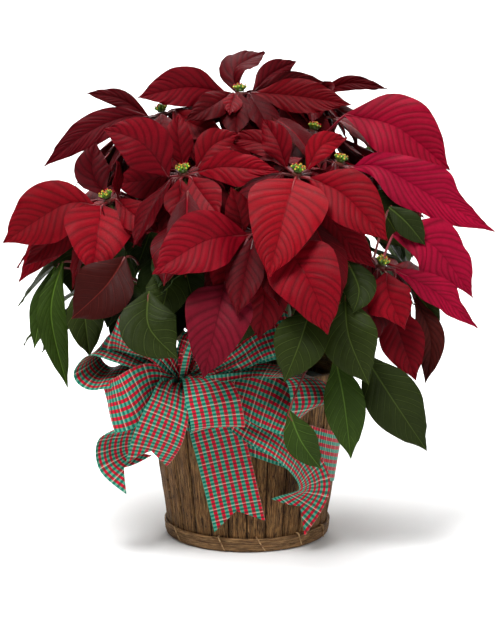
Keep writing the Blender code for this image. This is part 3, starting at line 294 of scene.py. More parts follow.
# Leaves that the front view hides: their directions and the share of the branch at the petiole
HIDDEN_LEAVES = {
    "01": ((95, 0.75),),
    "06": ((20, 0.6), (340, 0.45)),
    "07": ((50, 0.62),),
    "09": ((70, 0.6), (100, 0.8)),
    "10": ((150, 0.7),),
    "11": ((110, 0.5), (150, 0.66), (185, 0.45)),
    "12": ((60, 0.5), (90, 0.68), (120, 0.45), (75, 0.16)),
    "13": ((10, 0.5), (45, 0.66), (350, 0.4)),
    "14": ((130, 0.45), (165, 0.55), (200, 0.5), (185, 0.72)),
}
HIDDEN_LEAF_LENGTH = (76.0, 98.0)
HIDDEN_LEAF_HALF = (21.0, 27.0)
HIDDEN_PETIOLE_OUT = 37.8
HIDDEN_PETIOLE_UP = 12.6
HIDDEN_LEAF_DIP = 28.0
HIDDEN_LEAF_DROOP = 0.24

# The bow's loops and tails after the knot: stations of (across, up, depth), the way that the width runs
# there as (across, up, depth), and the share of the full width. A loop comes back to the knot.
RIBBON_LOOPS = {
    "loop_a": (
        ((-90, 178, -120), (0.4, 0.7, -0.5), 0.6),
        ((-116, 188, -128), (0.37, 0.6, -0.7), 0.95),
        ((-134, 196, -118), (0.37, 0.55, -0.72), 1.0),
        ((-122, 190, -108), (0.37, 0.6, -0.7), 0.9),
    ),
    "loop_b": (
        ((-122, 154, -102), (0.35, 0.4, 0.8), 0.75),
        ((-147, 152, -96), (0.41, 0.3, 0.86), 0.9),
        ((-159, 165, -94), (0.41, 0.27, 0.86), 1.0),
        ((-146, 183, -96), (0.41, 0.27, 0.86), 0.95),
        ((-122, 178, -100), (0.35, 0.4, 0.8), 0.8),
    ),
    "loop_c": (
        ((-94, 146, -120), (-0.15, 0.97, 0.1), 0.75),
        ((-119, 128, -129), (-0.25, 0.95, 0.1), 1.0),
        ((-138, 122, -118), (-0.2, 0.8, 0.5), 0.95),
        ((-124, 129, -106), (-0.15, 0.85, 0.5), 0.85),
    ),
    "loop_f": (
        ((-45, 151, -122), (1, 0.04, 0), 0.74),
        ((-34, 128, -139), (1, 0.08, 0), 1.0),
        ((-29, 102, -134), (1, 0.08, 0), 1.0),
        ((-36, 110, -112), (1, 0.1, 0), 0.85),
    ),
    "loop_h": (
        ((-64, 178, -116), (0.4, 0, -0.9), 0.5),
        ((-56, 194, -112), (0.5, 0, -0.86), 0.56),
        ((-50, 176, -106), (0.4, 0, -0.9), 0.45),
    ),
    "loop_j": (
        ((-14, 139, -116), (0.3, 0.9, 0.3), 0.75),
        ((20, 127, -114), (0.25, 0.85, 0.45), 1.0),
        ((48, 113, -114), (0.5, 0.5, 0.7), 1.0),
        ((60, 118, -118), (0.7, 0.25, 0.66), 1.0),
        ((67, 130, -119), (0.83, 0, 0.55), 1.0),
        ((56, 150, -108), (0.8, -0.3, 0.5), 0.95),
        ((16, 160, -120), (0.4, 0.1, 0.8), 0.7),
        ((-26, 156, -119), (0.2, 0.4, 0.85), 0.46),
    ),
    "loop_k": (
        ((-16, 170, -120), (-0.45, 0.75, 0.4), 0.58),
        ((14, 190, -121), (-0.3, 0.75, 0.6), 0.85),
        ((44, 197, -110), (-0.2, 0.75, 0.6), 0.9),
        ((16, 182, -104), (-0.2, 0.8, 0.5), 0.6),
    ),
}
RIBBON_TAILS = {
    "tail_d": (
        ((-72, 144, -124), (0.9, -0.35, 0), 0.55),
        ((-78, 121, -137), (0.85, -0.5, 0.1), 0.8),
        ((-88, 94, -134), (0.8, -0.5, 0.3), 0.95),
        ((-101, 65, -122), (0.65, -0.35, 0.68), 1.0),
    ),
    "tail_e": (
        ((-112, 116, -104), (0.6, 0.7, 0.3), 0.7),
        ((-131, 92, -98), (0.9, 0.25, 0.35), 0.75),
        ((-130, 68, -94), (0.85, 0.2, 0.5), 0.8),
        ((-108, 54, -94), (0.6, 0.65, 0.45), 0.9),
    ),
    "tail_g": (
        ((-42, 116, -104), (1, 0.15, 0), 0.7),
        ((-29, 92, -101), (0.98, 0.18, 0), 1.0),
        ((-7, 3, -90), (0.97, 0.22, 0), 1.0),
    ),
    "tail_l": (
        ((-8, 112, -113), (0.4, 0.85, 0.2), 0.6),
        ((32, 89, -113), (0.4, 0.6, 0.68), 0.8),
        ((59, 63, -100), (0.55, 0.4, 0.72), 0.8),
        ((66, 38, -90), (0.85, -0.15, 0.5), 0.75),
        ((41, 12, -88), (0.56, -0.8, 0.1), 1.0),
    ),
}

# The solids' blades have rings of six corners, then two at the tip: the triangles from one ring to the next
RING_FACES = (
    (0, 1, 7), (0, 7, 6), (5, 10, 4), (5, 11, 10), (1, 2, 7), (2, 8, 7),
    (3, 4, 10), (3, 10, 9), (0, 6, 11), (0, 11, 5), (2, 3, 9), (2, 9, 8),
)
TIP_FACES = ((0, 1, 6), (1, 2, 6), (3, 4, 7), (4, 5, 7), (0, 6, 7), (0, 7, 5), (2, 3, 7), (2, 7, 6))

Blade = namedtuple("Blade", "petiole lamina half outline face roll")


def seen(across, up, depth):
    """The point at this depth that the viewer sees so far right of the axis and above the foot's middle."""
    foot = AIM_HEIGHT * math.cos(VIEW_TILT)
    foot *= VIEW_DISTANCE / (VIEW_DISTANCE + AIM_HEIGHT * math.sin(VIEW_TILT))
    height = up - foot
    mark = Vector((across, height * math.sin(VIEW_TILT), AIM_HEIGHT + height * math.cos(VIEW_TILT)))
    ray = mark - EYE
    return EYE + ray * ((depth - EYE.y) / ray.y)


def curved(rows, steps):
    """Rows of numbers along a smooth curve through the given rows, as an array."""
    rows = np.array([tuple(row) for row in rows])
    rows = np.vstack([rows[:1], rows, rows[-1:]])
    t = (np.arange(steps) / steps)[:, None]
    found = []
    for a, b, c, d in zip(rows, rows[1:], rows[2:], rows[3:]):
        square, cube = 2 * a - 5 * b + 4 * c - d, 3 * b - a - 3 * c + d
        found.append(b + 0.5 * ((c - a) * t + square * t**2 + cube * t**3))
    return np.vstack(found + [rows[-1:]])


def smooth_line(points, steps=12):
    """Points along a smooth curve through the given ones."""
    return [Vector(row) for row in curved(points, steps)]


def spots(line, shares):
    """Point and direction at each share of a line's length."""
    lengths = [0.0]
    for a, b in zip(line, line[1:]):
        lengths.append(lengths[-1] + (b - a).length)
    found = []
    for share in shares:
        goal = share * lengths[-1]
        i = 0
        while i < len(line) - 2 and lengths[i + 1] < goal:
            i += 1
        part = (goal - lengths[i]) / max(lengths[i + 1] - lengths[i], 1e-6)
        found.append((line[i].lerp(line[i + 1], part), (line[i + 1] - line[i]).normalized()))
    return found


def blade_body(settings, grow=0.0):
    """Points and triangles of a blade as the solids have it, past its stalk, grown all round where asked."""
    outline = settings.outline
    stations = list(zip(outline, spots(settings.lamina, [o[0] for o in outline])))
    # Two rings are left out: the ends of a long stalk, or a short one's foot and the blade's first ring
    stations = stations[1:] if len(settings.petiole) == 2 else stations
    thick = BLADE_THICKNESS / 2 + grow
    verts = []
    for (_, left, right), (point, along) in stations:
        up = (settings.face - along * settings.face.dot(along)).normalized()
        up = Matrix.Rotation(settings.roll, 3, along) @ up
        side = along.cross(up)
        if left == 0:
            verts += [point + along * grow + up * thick, point + along * grow - up * thick]
            break
        left, right = left * settings.half, right * settings.half
        left_edge = point - side * (left + grow) + up * left * FOLD
        right_edge = point + side * (right + grow) + up * right * FOLD
        verts += [left_edge + up * thick, point + up * thick, right_edge + up * thick]
        verts += [right_edge - up * thick, point - up * thick, left_edge - up * thick]
    last = len(stations) - 2
    faces = [tuple(6 * i + k for k in face) for i in range(last) for face in RING_FACES]
    return verts, faces + [tuple(6 * last + k for k in face) for face in TIP_FACES]


def head_place(name):
    """The middle of a head's hub and the way its blossom faces."""
    middle = seen(*HEADS[name])
    return middle, (Vector((middle.x, middle.y, 0)) * HEAD_LEAN + UP).normalized()


def crown_of(name):
    """The index of the plant that carries a head: the one whose foot is nearest."""
    below = head_place(name)[0].xy * FOOT_SHARE
    return min(range(len(CROWNS)), key=lambda i: (Vector(CROWNS[i]) - below).length)


def branch_line(name):
    """The middle line of the branch that carries a head."""
    middle, facing = head_place(name)
    top = middle - facing * (HUB_HALF_HEIGHT + GAP)
    x, y = CROWNS[crown_of(name)]
    foot = Vector((x, y, SOIL_TOP + CROWN_RISE - BRANCH_ROOT))
    spread = Vector((top.x - x, top.y - y, 0)) * BRANCH_SPREAD
    rise = UP * (top.z - foot.z) * BRANCH_RISE
    end = facing * (top - foot).length * BRANCH_END
    return smooth_line([foot, foot + spread + rise, top - end, top])


def turned_frame(facing):
    """Two directions at right angles to the one given."""
    side = Vector((1, 0, 0))
    side = (side - facing * side.dot(facing)).normalized()
    return side, facing.cross(side)


def short_stalk(head, toward):
    """Where a bract's stalk leaves its head's hub and where the blade starts, and the way it runs."""
    middle, facing = head_place(head)
    flat = (toward - facing * toward.dot(facing)).normalized()
    return [middle + flat * HUB_ROOT, middle + flat * PETIOLE_REACH + facing * PETIOLE_LIFT], flat


def shown_tries(head, row):
    """The ways to try a bract that shows: as drawn, then nearer or further along the view, then rolled."""
    points, half, roll, outline, *long_petiole = row
    middle = head_place(head)[0]
    for turn in (0, 12, -12, 24, -24):
        for swing in (0, -8, 8, -16, 16, -26, 26, -38, 38, -52, 52):
            line = [seen(a, u, d + swing * (i + 1) / len(points)) for i, (a, u, d) in enumerate(points)]
            petiole = short_stalk(head, (seen(*long_petiole[0]) if long_petiole else line[0]) - middle)[0]
            for across, up, depth in long_petiole:
                petiole.append(seen(across, up, depth + swing / (len(points) + 1)))
            face = ((EYE - line[0]).normalized() + UP * BRACT_FACE_LIFT).normalized()
            lamina = smooth_line([petiole[-1]] + line)
            yield Blade(petiole, lamina, half, outline, face, math.radians(roll + turn))


def leaf_tries(row):
    """The ways to try a leaf that shows."""
    head, share, points, half, roll, outline = row
    root = spots(branch_line(head), (share,))[0][0]
    for turn in (0, 14, -14):
        for swing in (0, -8, 8, -16, 16, -26, 26, -40, 40, -56, 56):
            line = [seen(a, u, d + swing) for a, u, d in points]
            petiole = [root, root.lerp(line[0], 0.5) + UP * PETIOLE_ARCH, line[0]]
            face = ((EYE - line[1]).normalized() + UP * LEAF_FACE_LIFT).normalized()
            yield Blade(petiole, smooth_line(line), half, outline, face, math.radians(roll + turn))


def drooping(start, out, slope, length, droop):
    """The middle line of a blade that dips by a slope in degrees on its way out, and droops at its tip."""
    slope = math.radians(slope)
    way = out * math.cos(slope) - UP * math.sin(slope)
    return smooth_line([start, start + way * length * 0.5, start + way * length - UP * length * droop])


def heading(bearing):
    """The level direction at a bearing in degrees, from the right and away."""
    angle = math.radians(bearing)
    return Vector((math.cos(angle), math.sin(angle), 0))


def hidden_tries(head, bearing, length, half, dip):
    """The ways to try a bract that the front view hides: by its bearing, then turned, steeper or flatter."""
    facing = head_place(head)[1]
    for lower in (0, 12, -12, 24, -22, 36):
        for turn in (0, 10, -10, 20, -20):
            petiole, flat = short_stalk(head, heading(bearing + turn))
            lamina = drooping(petiole[1], flat, dip + lower, length, HIDDEN_DROOP)
            yield Blade(petiole, lamina, half, PLAIN_OVAL, facing, 0.0)


def hidden_leaf_tries(head, bearing, share, length, half):
    """The ways to try a leaf that the front view hides."""
    root = spots(branch_line(head), (share,))[0][0]
    for lower in (0, 10, -10, 22, 34):
        for turn in (0, 12, -12, 24, -24):
            out = heading(bearing + turn)
            start = root + out * HIDDEN_PETIOLE_OUT + UP * HIDDEN_PETIOLE_UP
            lamina = drooping(start, out, HIDDEN_LEAF_DIP + lower, length, HIDDEN_LEAF_DROOP)
            petiole = [root, root.lerp(start, 0.5) + UP * PETIOLE_ARCH / 2, start]
            yield Blade(petiole, lamina, half, PLAIN_OVAL, (out * 0.5 + UP).normalized(), 0.0)


def wall_radius(height):
    """The basket wall's outer radius at a height, on the crowns of its staves."""
    return WALL_FOOT_RADIUS + (WALL_RIM_RADIUS - WALL_FOOT_RADIUS) * height / WALL_HEIGHT


def band_radius(height):
    """The inner radius of the ribbon band round the basket at a height."""
    return wall_radius(height) + STAVE_BULGE + GAP


def knot_middle():
    """The middle of the bow's knot, against the band."""
    away = band_radius(KNOT_HEIGHT) + RIBBON_THICKNESS + GAP + KNOT_RADIUS
    return Vector((away * math.cos(KNOT_ANGLE), away * math.sin(KNOT_ANGLE), KNOT_HEIGHT))


def pot_radius(height, start=0.0):
    """The grow pot's outer radius at a height above its foot, where its slope begins at a start."""
    share = (height - start) / (POT_HEIGHT - start)
    return POT_FOOT_RADIUS + (POT_RIM_RADIUS - POT_FOOT_RADIUS) * share


def soil_radius(height):
    """The soil's radius at a height above the pot's foot, a gap inside the pot's wall."""
    return pot_radius(height, POT_WALL) - POT_WALL - GAP


# Meshes

# Edges that turn by more than this stay sharp
SHARP = math.radians(50)
# How far to each side a line's direction is read, as a share of its length
WAY_SHARE = 0.03


def table(*columns):
    """Columns of numbers side by side, each one an array or a number for all rows."""
    return np.stack(np.broadcast_arrays(*columns), axis=-1)


class Skin:
    """The points and faces of a piece, gathered from several parts, with facts for its materials.

    Every fact is three numbers for each point. place tells where on a leaf, ribbon or hoop a point is, and on
    the bark wall how deep a gap is, for its painted shade. tone is its colour, which holds painted shade on
    some blades.
    """

    def __init__(self):
        self.points, self.faces, self.looks, self.place, self.tone = [], [], [], [], []
        self.count = 0

    def add(self, points, faces, look=0, place=(0, 0, 0), tone=(1, 1, 1)):
        """Take in a part's points in millimetres and its faces, with the index of its material."""
        points = np.asarray(points, dtype=float)
        self.points.append(points)
        self.faces += [tuple(self.count + v for v in face) for face in faces]
        self.looks += [look] * len(faces)
        self.place.append(np.broadcast_to(np.asarray(place, dtype=float), points.shape))
        self.tone.append(np.broadcast_to(np.asarray(tone, dtype=float), points.shape))
        self.count += len(points)

    def piece(self, name, materials, slot, *nodes):
        """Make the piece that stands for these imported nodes."""
        mesh = bpy.data.meshes.new(name)
        mesh.from_pydata(np.concatenate(self.points) * MM, [], self.faces)
        mesh.polygons.foreach_set("material_index", self.looks)
        for fact, rows in (("place", self.place), ("tone", self.tone)):
            layer = mesh.attributes.new(fact, "FLOAT_VECTOR", "POINT")
            layer.data.foreach_set("vector", np.concatenate(rows).ravel())
        mesh.shade_smooth()
        mesh.set_sharp_from_angle(angle=SHARP)
        for material in materials:
            mesh.materials.append(material)
        made = bpy.data.objects.new(name, mesh)
        bpy.context.scene.collection.objects.link(made)
        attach(made, "root")
        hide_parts(*nodes)
        return made


def whole_piece(points, faces, place, *labels):
    """Make a piece from one part: its points, faces and places, then what Skin.piece takes."""
    skin = Skin()
    skin.add(points, faces, 0, place)
    return skin.piece(*labels)


def grid_faces(rows, columns, start=0, flip=False, ring=False, closed=False):
    """Faces of a grid of points, row after row. A ring joins its last column to its first.

    A closed grid joins its last row to its first too.
    """
    faces = []
    for r in range(rows if closed else rows - 1):
        for c in range(columns if ring else columns - 1):
            near, far = start + r * columns, start + (r + 1) % rows * columns
            across = (c + 1) % columns
            face = (near + c, near + across, far + across, far + c)
            faces.append(face[::-1] if flip else face)
    return faces


def sheet_faces(rows, columns):
    """Faces of a thin closed sheet: an upper grid, a lower one after it, and the edge between them."""
    under = rows * columns
    faces = grid_faces(rows, columns) + grid_faces(rows, columns, under, flip=True)
    last = (rows - 1) * columns
    edge = [(r * columns, (r + 1) * columns) for r in range(rows - 1)]
    edge += [(b + columns - 1, a + columns - 1) for a, b in edge]
    edge += [(c + 1, c) for c in range(columns - 1)] + [(last + c, last + c + 1) for c in range(columns - 1)]
    return faces + [(a, b, under + b, under + a) for a, b in edge]


def lathe(profile, sides, middle=Vector((0, 0, 0)), axis=UP):
    """Points and faces of a closed turned body from (radius, height) pairs, foot to top."""
    side, other = turned_frame(axis)
    points = [middle + axis * profile[0][1]]
    for radius, height in profile[1:-1]:
        for k in range(sides):
            angle = FULL_TURN * k / sides
            out = side * math.cos(angle) + other * math.sin(angle)
            points.append(middle + axis * height + out * radius)
    points.append(middle + axis * profile[-1][1])
    rings = len(profile) - 2
    faces = [(0, 1 + (k + 1) % sides, 1 + k) for k in range(sides)]
    faces += grid_faces(rings, sides, 1, ring=True)
    last = 1 + (rings - 1) * sides
    faces += [(last + k, last + (k + 1) % sides, len(points) - 1) for k in range(sides)]
    return points, faces


def unit(vectors):
    """Each vector at length one."""
    return vectors / np.maximum(np.linalg.norm(vectors, axis=-1, keepdims=True), 1e-9)


def ease(value):
    """A smooth step from 0 to 1."""
    value = np.clip(value, 0, 1)
    return value * value * (3 - 2 * value)


def along_curve(curve):
    """The length of a curve of rows that begin with a point, and a reader of those rows at given lengths."""
    steps = np.linalg.norm(np.diff(curve[:, :3], axis=0), axis=1)
    place = np.concatenate([[0.0], np.cumsum(steps)])

    def at(where, low=0, high=3):
        return np.stack([np.interp(where, place, curve[:, k]) for k in range(low, high)], axis=-1)

    return place[-1], at


def spread(line, shares):
    """Points, directions and the length of a line, at an array of shares of its length."""
    length, at = along_curve(np.array([tuple(p) for p in line]))
    way = at(np.minimum(shares + WAY_SHARE, 1) * length) - at(np.maximum(shares - WAY_SHARE, 0) * length)
    return at(shares * length), unit(way), length


def limb(line, radii, sides):
    """Points, faces and (angle, along, 0) places of a closed round limb along a line."""
    shares = np.linspace(0, 1, len(radii))
    middles, ways, length = spread(line, shares)
    across = unit(np.cross(ways, np.array((0.31, 0.9, 0.05))))
    other = np.cross(ways, across)
    turns = np.arange(sides) * FULL_TURN / sides
    ring = across[:, None] * np.cos(turns)[None, :, None] + other[:, None] * np.sin(turns)[None, :, None]
    points = (middles[:, None] + ring * np.array(radii)[:, None, None]).reshape(-1, 3)
    last = (len(radii) - 1) * sides
    faces = grid_faces(len(radii), sides, ring=True)
    faces += [tuple(reversed(range(sides))), tuple(range(last, last + sides))]
    place = table(np.tile(turns * np.mean(radii), len(radii)), np.repeat(shares * length, sides), 0.0)
    return points, faces, place


def rounded(pairs):
    """A smooth curve through (share, width) pairs, as two arrays."""
    shares, widths = curved(pairs, 8).T
    return np.maximum.accumulate(shares), np.maximum(widths, 0)


# Blades with veins

# How far a vein strays from its even place, in gaps, and how far forward it runs on its way to the rim
VEIN_STRAY = 0.22
VEIN_SWEEP = 0.78
# Shares of the blade's length: where its tip starts to narrow, how long that takes, and the stretch at
# each end where the quilting grows
TIP_START = 0.8
TIP_RUN = 0.16
QUILT_ENDS = 0.12
# The share of the half width beside the midrib where the quilting grows
QUILT_MIDDLE = 0.28
# In millimetres: the tip's half width, the groove over the midrib, the rib below it, and the stalk's radii
LEAST_HALF = 0.12
GROOVE_WIDTH, GROOVE_DEPTH = 0.9, 0.35
RIB_WIDTH, RIB_DEPTH = 1.1, 1.1
STALK_RADII = (1.45, 1.1, 0.5)


def fine_blade(skin, settings, tone, draw, style):
    """Add one bract or leaf: a thin quilted blade with sunk veins, a rib below, and its stalk."""
    line = settings.lamina
    length = sum((b - a).length for a, b in zip(line, line[1:]))
    pairs = max(6, round(length / style["gap"]))
    veins = np.arange(pairs + 1) + np.array([draw.uniform(-VEIN_STRAY, VEIN_STRAY) for _ in range(pairs + 1)])
    veins[0], veins[-1] = 0, pairs
    rows = pairs * style["rows"] + 1
    phase = np.linspace(0, pairs, rows)
    share = np.interp(phase, np.arange(pairs + 1), veins / pairs)
    step = np.linspace(-1, 1, 2 * style["columns"] + 1)
    # Points lie closer together near the midrib
    across = np.sign(step) * np.abs(step) ** 1.35
    sweep = VEIN_SWEEP * share**0.6 * (1 - share)
    along = share[:, None] + sweep[:, None] * np.abs(across)[None, :] ** 1.05
    middle, way, _ = spread(line, along)
    side_of = np.sign(across)[None, :] * np.ones_like(along)
    width = np.zeros_like(along)
    for which, column in ((-1, 1), (1, 2)):
        half_widths = [(0.0, PETIOLE_HALF / settings.half)] + [(o[0], o[column]) for o in settings.outline]
        width = np.where(side_of * which >= 0, np.interp(along, *rounded(half_widths)), width)
    width *= 1 - 0.3 * ease((along - TIP_START) / TIP_RUN)
    half = settings.half * width + LEAST_HALF
    offset = across[None, :] * half
    face = np.array(settings.face)
    up = unit(face - way * (way @ face)[..., None])
    up = up * math.cos(settings.roll) + np.cross(way, up) * math.sin(settings.roll)
    side = np.cross(way, up)

    # The blade swells between veins, less near its ends and its midrib
    shifted = phase[:, None] + np.where(across > 0, 1 / style["rows"], 0)[None, :]
    part = shifted - np.floor(shifted)
    reach = np.abs(across)[None, :]
    quilt = np.sin(math.pi * part) ** 0.8 * ease(reach / QUILT_MIDDLE) * (1 - 0.45 * reach**4)
    quilt *= ease(along / QUILT_ENDS) * ease((1 - along) / QUILT_ENDS)
    # Each side waves in its own way, most at the rim
    lumps = [[draw.uniform(0, FULL_TURN) for _ in range(6)] for _ in range(2)]
    wave = np.zeros_like(along)
    edge = np.zeros_like(along)
    for sign, turns in zip((-1, 1), lumps):
        broad = np.sin(along * 5.1 + turns[0]) + 0.6 * np.sin(along * 9.7 + turns[1])
        small = np.sin(shifted * 1.9 + turns[2]) + 0.7 * np.sin(shifted * 3.3 + turns[3])
        one_side = (side_of * sign) > 0
        wave, edge = np.where(one_side, broad, wave), np.where(one_side, small, edge)
    curl = draw.uniform(0.7, 1.3)
    rise = half * reach * FOLD * (1 - 0.5 * curl * reach**2)
    rise += wave * settings.half * 0.035 * reach**1.5 + edge * style["ruffle"] * reach**3
    rise += quilt * style["quilt"]
    groove = np.exp(-((offset / GROOVE_WIDTH) ** 2)) * GROOVE_DEPTH
    rib = np.exp(-((offset / RIB_WIDTH) ** 2)) * RIB_DEPTH * (1 - along)
    thick = style["thick"] / 2
    base = middle + side * offset[..., None]
    top = base + up * (rise - groove + thick)[..., None]
    low = base + up * (rise - thick - rib)[..., None]
    points = np.concatenate([top.reshape(-1, 3), low.reshape(-1, 3)])
    # The third number is the share of the length, and 2 more on the lower side
    place = table(shifted, offset, along).reshape(-1, 3)
    place = np.concatenate([place, place + (0, 0, 2)])
    skin.add(points, sheet_faces(rows, len(step)), 0, place, tone)

    stalk = settings.petiole + [spot for spot, _ in spots(line, (0.07, 0.16))]
    radii = np.interp(np.linspace(0, 1, 14), (0, 0.8, 1), STALK_RADII)
    points, faces, stalk_place = limb(smooth_line(stalk, 6), radii, 6)
    drop = np.array(-settings.face.normalized()) * 0.7
    skin.add(points + drop, faces, 1, stalk_place, style.get("stalk", np.array(tone) * 0.9))


# Where the solids' blades are


class Placed:
    """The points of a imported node, to tell which of a blade's possible places the solid took."""

    def __init__(self, node):
        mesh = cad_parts[node].data
        self.tree = KDTree(len(mesh.vertices))
        for i, vert in enumerate(mesh.vertices):
            self.tree.insert(vert.co / MM, i)
        self.tree.balance()

    def first_of(self, tries):
        """The first try with enough corners that are corners of the solid, or None where it was left out."""
        for found in tries:
            verts = blade_body(found)[0]
            if sum(self.tree.find(v)[2] < OUT_OF_PLACE for v in verts) > ENOUGH_CORNERS * len(verts):
                return found
        return None


def blades_of_bracts(name):
    """Settings of every bract of a head, by its key: the number of a shown row, or h and the bearing."""
    placed = Placed("bracts_" + name)
    found = {i: placed.first_of(shown_tries(name, row)) for i, row in enumerate(SHOWN_BRACTS.get(name, ()))}
    for bearing, *sizes in HIDDEN_DRAWS[name]:
        found[f"h{bearing}"] = placed.first_of(hidden_tries(name, bearing, *sizes))
    return {key: settings for key, settings in found.items() if settings}


def blades_of_leaves(plant):
    """Settings of every leaf of a plant, by its key."""
    placed = Placed(f"plant_{plant + 1}")
    rows = enumerate(SHOWN_LEAVES)
    found = {i: placed.first_of(leaf_tries(row)) for i, row in rows if crown_of(row[0]) == plant}
    for name, draws in HIDDEN_LEAF_DRAWS.items():
        if crown_of(name) == plant:
            for bearing, *sizes in draws:
                found[f"{name}_{bearing}"] = placed.first_of(hidden_leaf_tries(name, bearing, *sizes))
    return {key: settings for key, settings in found.items() if settings}


def hidden_draws():
    """The seeded sizes of the blades that the front view hides, in the solids' order."""
    draw = random.Random(SEED)
    bracts = {}
    for name, bearings in HIDDEN_BRACTS.items():
        ranges = (HIDDEN_LENGTH, HIDDEN_HALF, HIDDEN_DIP)
        bracts[name] = [(bearing, *(draw.uniform(*r) for r in ranges)) for bearing in bearings]
    leaves = {}
    for name, rows in HIDDEN_LEAVES.items():
        ranges = (HIDDEN_LEAF_LENGTH, HIDDEN_LEAF_HALF)
        leaves[name] = [(bearing, share, *(draw.uniform(*r) for r in ranges)) for bearing, share in rows]
    return bracts, leaves


HIDDEN_DRAWS, HIDDEN_LEAF_DRAWS = hidden_draws()


# Shaders


def operation(name, swapped=False):
    """A method that adds a Math node for a socket and another value, or for the value and the socket."""

    def act(self, other=0.0):
        first, second = (other, self) if swapped else (self, other)
        return self.shader.node("ShaderNodeMath", {"operation": name}, {0: first, 1: second})

    return act


class Socket:
    """A value in a shader. Sums written on it add Math nodes."""

    def __init__(self, shader, socket):
        self.shader = shader
        self.socket = socket

    __add__ = __radd__ = operation("ADD")
    __sub__ = operation("SUBTRACT")
    __rsub__ = operation("SUBTRACT", swapped=True)
    __mul__ = __rmul__ = operation("MULTIPLY")
    __truediv__ = operation("DIVIDE")
    __abs__ = operation("ABSOLUTE")
    fraction = operation("FRACT")
    sine = operation("SINE")
    above = operation("GREATER_THAN")
    least = operation("MINIMUM")
    most = operation("MAXIMUM")

    def between(self, low, high, to_low=0.0, to_high=1.0):
        """The value mapped smoothly from one range to another, and held at its ends."""
        sockets = {0: self, 1: low, 2: high, 3: to_low, 4: to_high}
        return self.shader.node("ShaderNodeMapRange", {"interpolation_type": "SMOOTHSTEP"}, sockets)


class Shader:
    """A material whose Principled shader is fed through sums on sockets."""

    def __init__(self, name, **settings):
        self.material = bpy.data.materials.new(name)
        self.material.use_nodes = True
        self.tree = self.material.node_tree
        self.surface = self.tree.nodes["Principled BSDF"]
        for socket, value in settings.items():
            self.surface.inputs[socket.replace("_", " ")].default_value = value

    def feed(self, socket, value):
        """Link a value to a node's socket, or set a number or a colour on it."""
        if isinstance(value, Socket):
            self.tree.links.new(value.socket, socket)
        else:
            socket.default_value = value

    def node(self, kind, settings, sockets, output=0):
        """A node of a type, with its settings made first and then the values or links of its sockets."""
        made = self.tree.nodes.new(kind)
        for name, value in settings.items():
            if name == "stops":
                # A ramp starts with two stops, and here it gets a third
                made.color_ramp.elements.new(1.0)
                for element, (place, colour) in zip(made.color_ramp.elements, value):
                    element.position, element.color = place, colour
            else:
                setattr(made, name, value)
        for name, value in sockets.items():
            self.feed(made.inputs[name], value)
        return Socket(self, made.outputs[output])

    def fact(self, name):
        """A fact that the mesh holds for each point, as three numbers."""
        return self.node("ShaderNodeAttribute", {"attribute_name": name}, {}, "Vector")

    def split(self, vector):
        """The three numbers of a vector."""
        first = self.node("ShaderNodeSeparateXYZ", {}, {0: vector})
        return [Socket(self, output) for output in first.socket.node.outputs]

    def join(self, x, y, z=0.0):
        """Three numbers as a vector."""
        return self.node("ShaderNodeCombineXYZ", {}, {0: x, 1: y, 2: z})

    def spot(self, scale=(1, 1, 1)):
        """The point on the object in metres, stretched."""
        place = self.node("ShaderNodeTexCoord", {}, {}, "Object")
        return self.node("ShaderNodeVectorMath", {"operation": "MULTIPLY"}, {0: place, 1: scale})

    def grain(self, where, scale, detail=3.0, rough=0.55, warp=0.0):
        """Cloudy noise from 0 to 1."""
        sockets = {"Vector": where, "Scale": scale, "Detail": detail, "Roughness": rough, "Distortion": warp}
        return self.node("ShaderNodeTexNoise", {"noise_dimensions": "3D"}, sockets)

    def mix(self, share, first, second):
        """A colour between two, with this share of the second."""
        return self.node("ShaderNodeMix", {"data_type": "RGBA"}, {0: share, 6: first, 7: second}, 2)

    def scaled(self, colour, value):
        """A colour made lighter or darker by a value."""
        return self.node("ShaderNodeVectorMath", {"operation": "SCALE"}, {0: colour, 3: value})

    def finish(self, colour, rough, relief=None, distance=0.0, strength=1.0):
        """Feed the surface its colour, its roughness and, where there is a relief, its bump."""
        self.feed(self.surface.inputs["Base Color"], colour)
        self.feed(self.surface.inputs["Roughness"], rough)
        if relief:
            sockets = {"Height": relief, "Distance": distance, "Strength": strength}
            self.feed(self.surface.inputs["Normal"], self.node("ShaderNodeBump", {}, sockets))
        return self.material


def linear(colour, share=1.0):
    """A screen colour of 0 to 255 as the renderer's own."""
    found = [((c / 255 + 0.055) / 1.055) ** 2.4 if c > 10 else c / 255 / 12.92 for c in colour]
    return tuple(share * c for c in found)


def shade(colour):
    """A screen colour of 0 to 255 as a colour socket takes it."""
    return (*linear(colour), 1.0)


